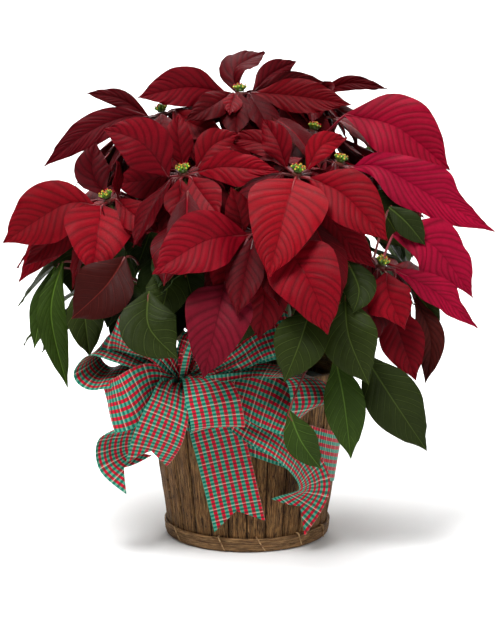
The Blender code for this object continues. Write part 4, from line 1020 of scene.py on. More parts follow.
def foliage(name, style):
    """The material of bracts or leaves: quilted between sunk veins, with a net of fine veins, and painted
    shade along the veins.
    """
    s = Shader(name, IOR=1.42, Specular_IOR_Level=0.09)
    phase, offset, along = s.split(s.fact("place"))
    under = along.above(1.5)
    along = along - under * 2
    tone = s.fact("tone")
    part = phase.fraction()
    near = part.least(1 - part) * style["gap"]
    rib = (abs(offset) / (1.25 - along * 0.95)).between(0.35, 1.0, 1.0, 0.0)
    lateral = near.between(0.1, 0.5, 0.8, 0.0) * abs(offset).between(0.6, 2.5)
    # valley_shade is painted shade: 1 on a vein, fading to 0 at 2.6 mm from it
    valley_shade = near.between(0.0, 2.6, 1.0, 0.0)
    place = s.spot()
    broad = s.grain(place, 17.0, 2.0)
    fine = s.grain(place, 190.0, 4.0, 0.65)
    cells = {"Vector": place, "Scale": 430.0}
    net = s.node("ShaderNodeTexVoronoi", {"feature": "DISTANCE_TO_EDGE"}, cells, "Distance")
    net = net.between(0.02, 0.12, 1.0, 0.0)
    veins = rib.most(lateral * broad.between(0.35, 0.62, 0.35, 1.0))
    light = broad.between(0.3, 0.7, 0.84, 1.12) * fine.between(0.25, 0.75, 0.9, 1.08)
    # Painted shade along the veins darkens the mottled tone, and so does the net of fine veins
    light = light * (1 - valley_shade * style["valley_shade"]) * (1 - net * 0.09)
    colour = s.scaled(tone, light)
    colour = s.mix(veins * style["vein_share"], colour, s.scaled(tone, style["vein_gain"]))
    colour = s.mix(under * 0.5, colour, s.scaled(linear(style["under"]), light))
    rough = fine.between(0.2, 0.8, style["rough"] - 0.08, style["rough"] + 0.12)
    return s.finish(colour, rough, (1 - net) * 0.35 + fine * 0.5 + (1 - lateral) * 0.6, 0.0002, 0.8)


def stalk_material():
    """Stems and leaf stalks: their own tone, with long faint streaks."""
    s = Shader("stem", IOR=1.45)
    turn, along, _ = s.split(s.fact("place"))
    streak = s.grain(s.join(turn * 1.6, along * 0.06), 1.0, 4.0)
    patch = s.grain(s.spot(), 55.0)
    colour = s.scaled(s.fact("tone"), streak.between(0.25, 0.75, 0.7, 1.25))
    colour = s.mix(patch.between(0.5, 0.75) * 0.35, colour, shade((112, 52, 44)))
    return s.finish(colour, patch.between(0.3, 0.7, 0.42, 0.62), streak, 0.0004, 0.6)


def bud_material():
    """The small cups of a flower: their own tone, with a waxy skin."""
    s = Shader("bud", IOR=1.45, Subsurface_Weight=0.1, Subsurface_Scale=0.001)
    patch = s.grain(s.spot(), 420.0)
    colour = s.scaled(s.fact("tone"), patch.between(0.3, 0.7, 0.8, 1.2))
    return s.finish(colour, patch.between(0.3, 0.7, 0.3, 0.5), patch, 0.0002, 0.5)


def bark_material(name, base, dark, light):
    """Weathered bark or split wood: streaks along its grain, cracks and pale scars, and painted shade that
    deepens with a gap's depth.
    """
    s = Shader(name, IOR=1.4)
    arc, run, depth = s.split(s.fact("place"))
    streak = s.grain(s.join(arc * 1.1, run * 0.05, depth * 0.3), 1.0, 6.0, 0.68, 0.5)
    fibre = s.grain(s.join(arc * 4.5, run * 0.12), 1.0, 4.0, 0.6)
    crack = s.grain(s.join(arc * 0.42, run * 0.022, 4.0), 1.0, 3.0, 0.5, 1.2)
    scar = s.grain(s.join(arc * 0.16, run * 0.09, 9.0), 1.0, 4.0, 0.7)
    stops = [(0.36, shade(dark)), (0.5, shade(base)), (0.66, shade(light))]
    colour = s.node("ShaderNodeValToRGB", {"stops": stops}, {0: streak * 0.6 + fibre * 0.4})
    gap = abs(crack - 0.5).between(0.0, 0.05, 1.0, 0.0)
    colour = s.mix(gap * 0.85, colour, shade(dark))
    colour = s.mix(scar.between(0.62, 0.8) * 0.5, colour, shade(light))
    # Painted shade: the colour darkens with the depth of the gap between staves, to a fifth at 3 mm; the
    # scars vary the tone
    colour = s.scaled(colour, depth.between(0.0, 3.0, 1.0, 0.2) * scar.between(0.2, 0.8, 0.75, 1.2))
    relief = streak * 0.9 + fibre * 0.5 - gap
    return s.finish(colour, fibre.between(0.2, 0.8, 0.72, 0.95), relief, 0.0012, 0.9)


def wire_material():
    """Thin tan ties with darker spots."""
    s = Shader("tie", IOR=1.45)
    patch = s.grain(s.spot(), 260.0)
    colour = s.mix(patch.between(0.35, 0.7), shade((196, 158, 108)), shade((122, 84, 50)))
    return s.finish(colour, patch.between(0.3, 0.7, 0.45, 0.7), patch, 0.0003, 0.6)


def pot_material():
    """Thin dark green plastic, dusty with soil near its rim."""
    s = Shader("pot_plastic", IOR=1.5)
    height = s.split(s.spot())[2]
    dust = s.grain(s.spot(), 90.0, 5.0, 0.65)
    fine = s.grain(s.spot((1, 1, 0.1)), 900.0, 2.0)
    mask = dust.between(0.5, 0.72) * height.between(0.11, 0.155)
    colour = s.mix(mask, shade((28, 52, 34)), shade((74, 60, 44)))
    return s.finish(colour, mask.between(0.0, 1.0, 0.38, 0.85), fine + dust, 0.0002, 0.4)


def soil_material():
    """Damp potting mix: brown crumbs of many tones, with pale specks."""
    s = Shader("potting_mix", IOR=1.4)
    crumb = s.grain(s.spot(), 240.0, 6.0, 0.7)
    patch = s.grain(s.spot(), 40.0)
    colour = s.mix(crumb.between(0.3, 0.72), shade((26, 18, 13)), shade((88, 64, 44)))
    colour = s.scaled(s.mix(0.35, colour, s.fact("tone")), patch.between(0.3, 0.7, 0.7, 1.1))
    return s.finish(colour, crumb.between(0.3, 0.7, 0.8, 0.98), crumb, 0.0012)


def ribbon_material(cloth):
    """Shiny plaid ribbon: red and green threads cross, with a thin pale line over it now and then."""
    s = Shader("plaid_ribbon", IOR=1.42, Specular_IOR_Level=0.14)
    along, across, _ = s.split(s.fact("place"))
    line = cloth.line_gap / MM
    red, green = (*cloth.red, 1.0), (*cloth.green, 1.0)
    # The shares of a repeat keep the stripes even about the middle, and 100 keeps the sums above 0
    warp = abs((across / (cloth.stripe / MM) + 100.25).fraction() - 0.5).between(0.22, 0.28)
    weft = abs((along / (line / 3) + 100.0).fraction() - 0.5).between(0.2, 0.3)
    thread = s.grain(s.join(across * 4.2, along * 4.2), 1.0, 2.0)
    colour = s.mix(0.12, s.mix(warp, red, green), s.mix(weft, red, green))
    colour = s.scaled(colour, 1 - weft * 0.62)
    colour = s.mix(abs(across).between(24.7, 25.0) * 0.3, colour, green)
    pale = abs((along / line + 100.31).fraction() - 0.5).between(0.016, 0.026, 1.0, 0.0)
    colour = s.mix(pale * 0.5, colour, shade((228, 222, 200)))
    colour = s.scaled(colour, thread.between(0.3, 0.7, 0.86, 1.1))
    relief = (along * 14.0).sine() * 0.4 + thread * 0.8
    return s.finish(colour, thread.between(0.3, 0.7, 0.48, 0.62), relief, 0.00012, 0.6)


def floor_material(stage):
    """A plain pale floor with a very faint grain."""
    s = Shader("pale_floor", IOR=1.4, Specular_IOR_Level=0.15)
    cloud = s.grain(s.spot(), 3.0, 2.0)
    colour = s.scaled(tuple(stage.floor), cloud.between(0.3, 0.7, 0.99, 1.0))
    return s.finish(colour, cloud.between(0.3, 0.7, 0.85, 0.9))


# Flowers and leaves

BRIGHT = (126, 4, 20)
DEEP = (104, 3, 15)
# DARK_AND_SHADED is a deep red that holds painted shade: it goes on some bracts that show, on the inner
# bracts of the plant's shaded middle and on leaves high up
DARK_AND_SHADED = (76, 2, 9)
CRIMSON = (144, 5, 40)
ROSE = (96, 10, 28)
BRONZE = (58, 15, 12)
LEAF = (37, 46, 15)
# LEAF_SHADED is painted shade: a darker green for the leaves inside the plant
LEAF_SHADED = (27, 37, 13)
LEAF_FRESH = (46, 64, 20)
# Above these heights the leaves turn to bracts: the ones that the front view hides, then the others
REDDENING = (306.0, 350.0)

# Tones of the bracts that show, in the order of their rows, then the tone of the head's other bracts
BRACT_TONES = {
    "01": ((DEEP, DARK_AND_SHADED, DARK_AND_SHADED, DEEP, DEEP, DARK_AND_SHADED, DARK_AND_SHADED), DARK_AND_SHADED),
    "02": ((DEEP, DEEP, BRIGHT, DEEP, DEEP, DEEP, DEEP), DEEP),
    "03": ((DEEP, BRIGHT, BRIGHT, BRIGHT, DEEP, DEEP), DEEP),
    "04": ((BRIGHT, DEEP, BRIGHT, BRIGHT, DARK_AND_SHADED, DEEP, DEEP), DEEP),
    "05": ((BRIGHT, DEEP, BRONZE, CRIMSON, CRIMSON), DEEP),
    "06": ((CRIMSON, DEEP), DEEP),
    "07": ((CRIMSON,), DEEP),
    "08": ((BRIGHT, DEEP, DEEP, ROSE, BRIGHT, DEEP), DEEP),
    "09": ((DARK_AND_SHADED, DARK_AND_SHADED), DEEP),
    "10": ((DARK_AND_SHADED, DARK_AND_SHADED, DEEP), DEEP),
    "11": ((), DEEP),
    "12": ((), BRIGHT),
    "13": ((), CRIMSON),
    "14": ((), DEEP),
}
# Tones of some leaves that show, by the numbers of their rows
LEAF_TONES = {0: BRONZE, 1: LEAF_FRESH, 2: LEAF_FRESH, 9: LEAF_FRESH, 10: LEAF, 11: LEAF_FRESH}

# Sizes in millimetres, then shares: gap lies between veins, and each gap has so many rows of points, with so
# many columns on each side. valley_shade is painted shade that darkens the blade along a vein, vein_gain is
# the vein's own tone beside the blade's, and under is the colour of the lower side.
BRACT_STYLE = {
    "gap": 8.2, "rows": 3, "columns": 10, "ruffle": 0.9, "rough": 0.5,
    "valley_shade": 0.36, "vein_gain": 0.4, "vein_share": 0.42, "under": (104, 18, 26),
}
LEAF_STYLE = {
    "gap": 9.0, "rows": 3, "columns": 10, "ruffle": 0.7, "rough": 0.46, "stalk": linear((118, 46, 44)),
    "valley_shade": 0.22, "vein_gain": 3.4, "vein_share": 0.8, "under": (78, 96, 52),
}
# Hidden inside the plant, so in fewer rows and columns
INNER_STYLE = {"rows": 2, "columns": 6}
# The plant's shaded middle: half across, half deep, half high, its middle's height and its lowest point
MIDDLE = (195, 178, 180)
MIDDLE_HEIGHT = 262
MIDDLE_FOOT = 195
INNER_BRACTS_A_HEAD = 12
INNER_LEAF_SHARES = (0.9, 0.78, 0.66, 0.54, 0.42, 0.3)
INNER_LEAVES_A_SHARE = 3
# The profile of the hub that a head's bracts grow from, as (radius, height)
HUB = ((0, -3.2), (3.0, -3.2), (4.4, -1.9), (4.9, 0.4), (4.6, 2.4), (3.2, 3.1), (0, 3.2))


def jittered(tone, draw):
    """A tone in the renderer's colours, a little lighter or darker than given."""
    share = draw.uniform(0.86, 1.12)
    warm = draw.uniform(0.85, 1.15)
    red, green, blue = linear(tone, share)
    return red, green, blue * warm


class Inside:
    """What the inner blades keep clear of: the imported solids, and the inner blades before them."""

    def __init__(self):
        verts = []
        faces = []
        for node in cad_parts.values():
            start = len(verts)
            verts += [v.co / MM for v in node.data.vertices]
            faces += [tuple(start + v for v in p.vertices) for p in node.data.polygons]
        self.trees = [BVHTree.FromPolygons(verts, faces)]

    def first_of(self, tries):
        """The first try inside the plant and clear of everything, in a list, or an empty list."""
        for settings in tries:
            tip = settings.lamina[-1]
            away = [(v / half) ** 2 for v, half in zip((tip.x, tip.y, tip.z - MIDDLE_HEIGHT), MIDDLE)]
            if sum(away) > 1 or tip.z < MIDDLE_FOOT:
                continue
            shape = BVHTree.FromPolygons(*blade_body(settings, CLEARANCE))
            if not any(tree.overlap(shape) for tree in self.trees):
                self.trees.append(shape)
                return [settings]
        return []


def inner_blades():
    """Seeded leaves and bracts that fill the plant's shaded middle, by plant and by head."""
    draw = random.Random(SEED + 1)
    room = Inside()
    leaves = [[] for _ in CROWNS]
    bracts = {name: [] for name in HEADS}
    for name in HEADS:
        for _ in range(INNER_BRACTS_A_HEAD):
            bearing = draw.uniform(0, 360)
            sizes = draw.uniform(48, 64), draw.uniform(14, 19), draw.uniform(38, 62)
            bracts[name] += room.first_of(hidden_tries(name, bearing, *sizes))
    for share in INNER_LEAF_SHARES:
        for name in HEADS:
            for _ in range(INNER_LEAVES_A_SHARE):
                bearing = draw.uniform(0, 360)
                sizes = draw.uniform(52, 76), draw.uniform(17, 23)
                leaves[crown_of(name)] += room.first_of(hidden_leaf_tries(name, bearing, share, *sizes))
    return leaves, bracts


INNER_LEAVES, INNER_BRACTS = inner_blades()


def head_piece(name, style, materials):
    """One flower head's bracts, with the hub that they grow from."""
    draw = random.Random(int(name))
    skin = Skin()
    tones, other = BRACT_TONES[name]
    for key, settings in blades_of_bracts(name).items():
        fine_blade(skin, settings, jittered(tones[key] if isinstance(key, int) else other, draw), draw, style)
    for settings in INNER_BRACTS[name]:
        # Inner bracts take the darkest red, painted shade for the plant's shaded middle
        fine_blade(skin, settings, jittered(DARK_AND_SHADED, draw), draw, {**style, **INNER_STYLE})
    skin.add(*lathe(HUB, 14, *head_place(name)), 1, tone=linear((96, 44, 34)))
    return skin.piece(f"head_{name}_bracts", materials, "bracts", "bracts_" + name)


# Profiles of a bud's parts, as (radius, height), and the places of the inner buds, as (away, angle)
BUD_BED = ((0, 0), (3.6, 0), (4.4, 1.0), (4.2, 2.2), (3.0, 3.2), (0, 3.5))
BUD_URN = ((0, 0), (1.2, 0.1), (2.0, 1.3), (2.25, 2.8), (2.0, 4.2), (1.35, 5.0), (1.1, 4.7), (0, 4.4))
BUD_GLAND = ((0, -0.9), (0.9, -0.6), (1.25, 0.1), (0.8, 0.8), (0, 0.6))
BUD_THREAD = ((0, 0), (0.28, 0.1), (0.24, 1.1), (0.52, 1.5), (0.42, 2.0), (0, 2.1))
INNER_BUDS = [(1.7, 30), (1.7, 150), (1.7, 270)]


def buds_piece(name, materials):
    """The cluster of small green cups in a head's middle, with yellow glands and red tips."""
    draw = random.Random(40 + int(name))
    middle, facing = head_place(name)
    side, other = turned_frame(facing)
    low = middle + facing * (HUB_HALF_HEIGHT + GAP)
    skin = Skin()

    def around(turn):
        return side * math.cos(turn) + other * math.sin(turn)

    def grow(profile, size, sides, foot, axis, tone):
        skin.add(*lathe([(r * size, h * size) for r, h in profile], sides, foot, axis), tone=linear(tone))

    grow(BUD_BED, 1, 14, low, facing, (70, 88, 34))
    for away, angle in [(4.5, 60 * k + draw.uniform(-8, 8)) for k in range(6)] + INNER_BUDS:
        turn = math.radians(angle)
        out = around(turn)
        axis = (facing + out * away * 0.09).normalized()
        size = draw.uniform(0.72, 0.92)
        foot = low + out * away * 0.82 + facing * (2.2 if away > 3 else 3.0)
        tone = draw.randint(66, 104), draw.randint(112, 146), draw.randint(30, 46)
        grow(BUD_URN, size, 10, foot, axis, tone)
        lip = around(turn + draw.uniform(-0.6, 0.6))
        place = foot + axis * 3.3 * size + lip * 1.9 * size
        grow(BUD_GLAND, size, 8, place, (lip + axis * 0.5).normalized(), (204, 196, 60))
        for k in range(draw.randint(2, 4)):
            lean = (axis + around(FULL_TURN * k / 4 + draw.uniform(0, 1)) * 0.4).normalized()
            tone = (196, 36, 40) if draw.random() < 0.6 else (228, 190, 66)
            grow(BUD_THREAD, 1, 6, foot + axis * 4.2 * size, lean, tone)
    return skin.piece(f"head_{name}_buds", materials, "cyathia", "cyathia_" + name)


def leaf_tone(settings, key):
    """A leaf's tone: green, and dark red high up on the plant, where leaves turn to bracts. The darkness of
    that red, and the darker green of the inner leaves, is painted shade.
    """
    line = settings.lamina
    if line[len(line) // 2].z > REDDENING[isinstance(key, int)]:
        return DARK_AND_SHADED
    return LEAF_SHADED if key == "inner" else LEAF_TONES.get(key, LEAF)


def plant_piece(plant, style, materials):
    """One rooted plant: its main stem, its branches and its leaves."""
    draw = random.Random(80 + plant)
    skin = Skin()
    for key, settings in blades_of_leaves(plant).items():
        fine_blade(skin, settings, jittered(leaf_tone(settings, key), draw), draw, style)
    for settings in INNER_LEAVES[plant]:
        # Inner leaves take the darker green, painted shade
        tone = jittered(leaf_tone(settings, "inner"), draw)
        fine_blade(skin, settings, tone, draw, {**style, **INNER_STYLE})
    low, high = np.array(linear((104, 88, 52))), np.array(linear((92, 112, 58)))
    sides = 10
    share = np.linspace(0, 1, 34)
    green = np.repeat(ease(share * 1.6), sides)[:, None]
    for name in HEADS:
        if crown_of(name) == plant:
            radii = STEM_FOOT_RADIUS + (STEM_TOP_RADIUS - STEM_FOOT_RADIUS) * share
            # Nine joints swell along a branch
            radii = radii + 0.5 * np.exp(-(((share * 9 + draw.random()) % 1 - 0.5) / 0.12) ** 2)
            points, faces, place = limb(branch_line(name), radii, sides)
            skin.add(points, faces, 1, place, low * (1 - green) + high * green)
    foot = SOIL_TOP - CROWN_DEPTH + GAP
    rise = (CROWN_DEPTH + CROWN_RISE - GAP) / (len(CROWN_RADII) - 1)
    line = [Vector((*CROWNS[plant], foot + rise * k)) for k in range(len(CROWN_RADII))]
    points, faces, place = limb(line, CROWN_RADII, 14)
    skin.add(points, faces, 1, place, low)
    return skin.piece(f"plant_{plant + 1}_leaves", materials, "plant", f"plant_{plant + 1}")


# Basket, pot and soil

# A stave's points, as shares of its width, and how deep each one lies in the gap
STAVE_MARKS = (0.0, 0.018, 0.05, 0.11, 0.2, 0.31, 0.43, 0.57, 0.69, 0.8, 0.89, 0.95, 0.982)
STAVE_DEPTHS = (1, 0.95, 0.3, 0.08, 0, 0, 0, 0, 0, 0, 0.08, 0.3, 0.95)
# Mean radii, for places along the wall and the hoops
WALL_ARC = 90
HOOP_ARC = 84
WALL_ROWS = 70
HOOP_SIDES = 220
SOIL_SIDES = 110
SOIL_RINGS = 46
CHIPS = 420


def turned(radii, heights, angles):
    """Points on an upright round form, from arrays of the same shape."""
    return table(radii * np.cos(angles), radii * np.sin(angles), heights)


def rough_at(arc, height, seed):
    """Long bark ridges and cracks, in millimetres, at a place on the wall."""
    ridge = noise.noise(Vector((arc / 2.6, height / 26, seed))) * 0.8
    fibre = noise.noise(Vector((arc / 0.9, height / 11, seed + 7))) * 0.4
    crack = abs(noise.noise(Vector((arc / 6.5, height / 60, seed + 3))))
    return ridge + fibre - max(0, 1 - crack / 0.05) * 0.9


def wall_piece(basket, materials):
    """The wall of bark staves, rough outside, with gaps between the staves that painted shade darkens."""
    draw = random.Random(SEED)
    levels = (0.0, FOOT_HOOP[1] + 2, 95.0, WALL_HEIGHT)
    bulges = np.array([[draw.uniform(0, STAVE_BULGE) for _ in range(STAVES)] for _ in levels])
    tops = np.array([draw.uniform(-RIM_RAGGEDNESS, 0) for _ in range(STAVES)])
    bulges[[0, 1, 3]] = 0
    marks = len(STAVE_MARKS)
    stave = np.repeat(np.arange(STAVES), marks)
    depth = np.tile(basket.groove / MM * np.array(STAVE_DEPTHS), STAVES)
    angles = FULL_TURN * (stave + np.tile(STAVE_MARKS, STAVES)) / STAVES
    arc = angles * WALL_ARC
    points = []
    place = []
    for share in np.linspace(0, 1, WALL_ROWS):
        height = share * WALL_HEIGHT
        top = tops[stave] * ease((share - 0.8) / 0.2)
        bulge = np.array([np.interp(height, levels, bulges[:, i]) for i in range(STAVES)])[stave]
        rough = np.array([rough_at(a, height, int(i)) for a, i in zip(arc, stave)]) * basket.roughness / MM
        calm = ease(share / 0.02) * (0.35 if FOOT_HOOP[0] < height < FOOT_HOOP[1] else 1)
        splinter = np.array([noise.noise(Vector((a / 1.7, 3.0, 1.0))) for a in arc]) * 0.9
        splinter *= ease((share - 0.97) / 0.03)
        radii = wall_radius(height) - depth + bulge * (1 - depth / depth.max())
        points.append(turned(radii + np.minimum(rough * calm, 0.6), height + top + splinter, angles))
        # The third number is the gap's depth, which the bark's colour darkens with as painted shade
        place.append(table(arc + stave * 37, height, depth))
    inner = ((1.0, 2.0), (1.0, 0.0), (0.97, 0.0), (0.66, 0.0), (0.33, 0.0), (0.0, 0.0), (0.0, 2.0))
    for share, back in inner:
        height = share * WALL_HEIGHT
        top = tops[stave] * ease((share - 0.8) / 0.2)
        points.append(turned(wall_radius(height) - WALL_THICKNESS + back, height + top, angles))
        # Inside, the gaps' painted shade is weaker
        place.append(table(arc, height, depth * 0.4))
    faces = grid_faces(WALL_ROWS + len(inner), STAVES * marks, ring=True, closed=True)
    return whole_piece(
        np.concatenate(points), faces, np.concatenate(place), "bark_staves", materials, "bark", "bark_wall"
    )


def hoop_piece(name, node, low, high, materials, inside=False):
    """A flat hoop of split wood, rough and a little uneven, outside the wall or inside it."""
    angles = np.arange(HOOP_SIDES) * FULL_TURN / HOOP_SIDES
    near = ROUND_GAP
    far = near + HOOP_THICKNESS
    middle = (low + high) / 2
    profile = [(near, low + 0.4), (far - 0.8, low), (far, low + 1.2)]
    profile += [(far + 0.25, low + (high - low) * k / 6) for k in range(1, 6)]
    profile += [(far, high - 1.2), (far - 0.8, high), (near, high - 0.4)]
    profile += [(near, high - (high - low) * k / 3) for k in (1, 2)]
    points = []
    place = []

    def round_noise(reach, height):
        spots_round = [(math.cos(a) * reach, math.sin(a) * reach, height) for a in angles]
        return np.array([noise.noise(Vector(spot)) for spot in spots_round])

    for out, height in profile:
        lift = round_noise(3, 5.0 + (height > middle)) * 0.9 * abs(height - middle) / (middle - low)
        rough = round_noise(9, height / 2.2) * 0.45 + round_noise(30, height / 1.1) * 0.2 if out > near else 0
        base = wall_radius(height) + (-out - rough - WALL_THICKNESS if inside else out + rough)
        points.append(turned(base, np.maximum(height + lift, 0.2), angles))
        place.append(table(height * 1.3 + out, angles * HOOP_ARC, 0.0))
    faces = grid_faces(len(profile), HOOP_SIDES, flip=inside, ring=True, closed=True)
    return whole_piece(np.concatenate(points), faces, np.concatenate(place), name, materials, "wood", node)


def ties_piece(materials):
    """The thin ties over the foot hoop."""
    skin = Skin()
    low, high = FOOT_HOOP
    reach = ROUND_GAP + HOOP_THICKNESS + 0.9
    run = [(high + 0.9, 0.6), (high + 1.2, 2.0), (high + 0.4, reach)]
    run += [(high - 5, reach + 0.2), (low + 1.2, reach)]
    for index, angle in enumerate(TIE_ANGLES):
        slant = -math.radians(random.Random(index).uniform(4.0, 6.5))
        line = []
        for height, out in run:
            turn = math.radians(angle) + slant * (height / high - 0.5)
            radius = wall_radius(height) + out
            line.append(Vector((radius * math.cos(turn), radius * math.sin(turn), height)))
        points, faces, place = limb(smooth_line(line, 6), np.linspace(0.75, 0.6, 22), 8)
        skin.add(points, faces, 0, place)
    nodes = [f"hoop_tie_{i + 1}" for i in range(len(TIE_ANGLES))]
    return skin.piece("hoop_ties", materials, "wire", *nodes)


def board_piece(materials):
    """The basket's round floor board."""
    radius = wall_radius(0) - WALL_THICKNESS - ROUND_GAP
    top = FLOOR_THICKNESS
    profile = ((0, 0), (radius - 0.6, 0), (radius, 0.6), (radius, top - 0.6), (radius - 0.6, top), (0, top))
    points, faces = lathe(profile, 96)
    place = [(p.x, p.y, 0) for p in points]
    return whole_piece(points, faces, place, "floor_board", materials, "wood", "basket_floor")


def pot_piece(materials):
    """The thin plastic grow pot, with a rolled lip."""
    low = POT_HEIGHT - POT_LIP_HEIGHT
    lip = pot_radius(low) + POT_LIP
    rim = POT_RIM_RADIUS
    profile = [(0, 0), (POT_FOOT_RADIUS - 1, 0), (POT_FOOT_RADIUS, 1)]
    profile += [(pot_radius(h), h) for h in (20, 45, 70, 95, 120, low - 0.4)]
    profile += [(lip - 0.6, low - 0.2), (lip, low + 0.5)]
    profile += [(rim + POT_LIP, POT_HEIGHT - 0.8), (rim + POT_LIP - 0.6, POT_HEIGHT)]
    profile += [(rim - 1.2, POT_HEIGHT), (rim - POT_WALL, POT_HEIGHT - 0.8)]
    profile += [(soil_radius(h) + GAP, h) for h in (120, 80, 40, POT_WALL + 1)]
    profile += [(POT_FOOT_RADIUS - POT_WALL - 1, POT_WALL), (0, POT_WALL)]
    points, faces = lathe([(r, POT_START + h) for r, h in profile], 72)
    return whole_piece(points, faces, (0, 0, 0), "plastic_pot", materials, "plastic", "grow_pot")


def soil_piece(materials):
    """The potting soil: a crumbly top with loose bits on it."""
    draw = random.Random(SEED + 3)
    outer = soil_radius(SOIL_TOP - POT_START)
    base = POT_WALL + GAP
    profile = [(0, POT_START + base), (soil_radius(base), POT_START + base)]
    profile += [(outer * (1 - k / SOIL_RINGS), SOIL_TOP) for k in range(SOIL_RINGS)] + [(0, SOIL_TOP)]
    points, faces = lathe(profile, SOIL_SIDES)
    for p in points:
        if p.z > SOIL_TOP - 1:
            calm = 0.65 * ease((p.xy.length / outer - 0.9) / 0.1)
            lumps = noise.noise(p / 9) * 1.6 + noise.noise(p / 3.1) * 1.1 + noise.noise(p / 1.3) * 0.5
            p.z += lumps * (1 - calm)
    skin = Skin()
    skin.add(points, faces, tone=linear((70, 50, 36)))
    for _ in range(CHIPS):
        away = outer * 0.96 * math.sqrt(draw.random())
        turn = draw.uniform(0, FULL_TURN)
        size = draw.uniform(0.7, 2.6)
        middle = Vector((away * math.cos(turn), away * math.sin(turn), SOIL_TOP + size * 0.5))
        axis = Vector([draw.uniform(-1, 1) for _ in range(3)]).normalized()
        profile = ((0, -0.7), (0.7, -0.3), (0.8, 0.3), (0, 0.7))
        chip = [(r * size * draw.uniform(0.7, 1.2), h * size) for r, h in profile]
        pale = draw.random()
        tone = (214, 208, 196) if pale > 0.93 else (92, 64, 42) if pale > 0.4 else (44, 32, 24)
        skin.add(*lathe(chip, 5, middle, axis), tone=linear(tone))
    return skin.piece("potting_soil", materials, "soil", "soil")


# Ribbon

RIBBON_COLUMNS = 25
RIBBON_STEP = 3.0
BAND_SIDES = 240


def ribbon_strip(skin, stations, cloth, is_loop):
    """Add one loop or tail: pleated where the knot gathers it, flat further out. Gives its length."""
    rows = [(seen(*place), Vector((x, y, z)).normalized(), share) for place, (x, z, y), share in stations]
    knot = knot_middle()
    apart = Vector((0, 0, 0))
    if is_loop:
        first, last = rows[0][0], rows[-1][0]
        ahead = ((first + last) / 2 - knot).normalized()
        apart = first - last
        apart = (apart - ahead * apart.dot(ahead)).normalized() * LOOP_SPREAD
        rows.append((knot - apart, rows[-1][1], PINCH))
    rows.insert(0, (knot + apart, rows[0][1], PINCH))
    length, at = along_curve(curved([(*place, *width, share) for place, width, share in rows], 16))
    count = int(length / RIBBON_STEP)
    across = np.linspace(-1, 1, RIBBON_COLUMNS)
    run = np.linspace(0, 1, count)[:, None] * np.ones(RIBBON_COLUMNS)[None, :]
    if not is_loop:
        run = run * (1 - NOTCH / length * (1 - np.abs(across))[None, :] * ease((run - 0.55) / 0.45))
    run *= length
    way = unit(at(np.minimum(run + RIBBON_STEP, length)) - at(np.maximum(run - RIBBON_STEP, 0)))
    wide = unit(at(run, 3, 6))
    wide = unit(wide - way * np.sum(wide * way, axis=-1, keepdims=True) * SQUARED)
    up = unit(np.cross(way, wide))
    share = np.clip(at(run, 6, 7)[..., 0], PINCH, 1)
    half = RIBBON_WIDTH / 2
    # The cloth that the knot takes in stands in pleats, and further out the strip is bowed across
    gathered = 1 - ease((share - 0.35) / 0.55)
    pleats = half * math.sqrt(2) * np.sqrt(1 - share**2) / (math.pi * PLEATS) * gathered
    turn = np.cos(math.pi * PLEATS * across + len(stations) + 0.4)[None, :]
    bowed = (across**2 - 0.33)[None, :] * 2.0 * (1 - gathered)
    base = at(run) + wide * (across[None, :] * half * share)[..., None]
    base = base + up * (pleats * turn + bowed)[..., None]
    lift = up * (cloth.thickness / MM / 2)
    points = np.concatenate([(base - lift).reshape(-1, 3), (base + lift).reshape(-1, 3)])
    place = table(run, across[None, :] * half, 0.0).reshape(-1, 3)
    skin.add(points, sheet_faces(count, RIBBON_COLUMNS), 0, np.concatenate([place, place]))
    return length


def bow_piece(cloth, materials):
    """The whole bow: loops and tails of one ribbon, and the wrap round its knot."""
    skin = Skin()
    length = sum(ribbon_strip(skin, stations, cloth, is_loop=True) for stations in RIBBON_LOOPS.values())
    length += sum(ribbon_strip(skin, stations, cloth, is_loop=False) for stations in RIBBON_TAILS.values())
    out = Vector((math.cos(KNOT_ANGLE), math.sin(KNOT_ANGLE), 0))
    axis = Vector((-out.y, out.x, 0))
    rim = ((0, 9.2), (5.2, 9.2), (7.6, 7.6), (8.4, 5), (8.0, 2.4))
    profile = [(r, -h) for r, h in rim] + [(8.5, 0)] + list(reversed(rim))
    points, faces = lathe(profile, 40, axis=axis)
    place = [(math.atan2(p.z, p.dot(out)) * KNOT_RADIUS, p.dot(axis) * 1.6, 0) for p in points]
    stretch = KNOT_HALF_HEIGHT / KNOT_RADIUS
    skin.add([Vector((p.x, p.y, p.z * stretch)) + knot_middle() for p in points], faces, 0, place)
    made = skin.piece("bow_ribbon", materials, "ribbon", "ribbon_bow")
    return made


def band_piece(cloth, materials):
    """The ribbon round the basket, low on the right and high at the bow."""
    half = RIBBON_WIDTH / 2
    turn = np.arange(BAND_SIDES) * FULL_TURN / BAND_SIDES
    angles = KNOT_ANGLE + turn
    heights = BAND_MIDDLE - BAND_SWING * np.cos(angles - BAND_LOW_ANGLE)
    inner = 0.1
    rises = np.linspace(-half, half, 9)
    rows = [(rise, inner + cloth.thickness / MM) for rise in rises] + [(rise, inner) for rise in rises[::-1]]
    points = []
    place = []
    for rise, out in rows:
        level = heights + rise
        cling = 0.35 * np.cos(STAVES * angles) + 0.5 * np.sin(3 * angles + rise * 0.06)
        points.append(turned(band_radius(level) + out + cling * 0.6, level, angles))
        place.append(table(turn * BAND_RADIUS, rise, 0.0))
    faces = grid_faces(len(rows), BAND_SIDES, ring=True, closed=True)
    place = np.concatenate(place)
    made = whole_piece(
        np.concatenate(points), faces, place, "ribbon_round_basket", materials, "ribbon", "ribbon_band"
    )
    return made


# The add-on


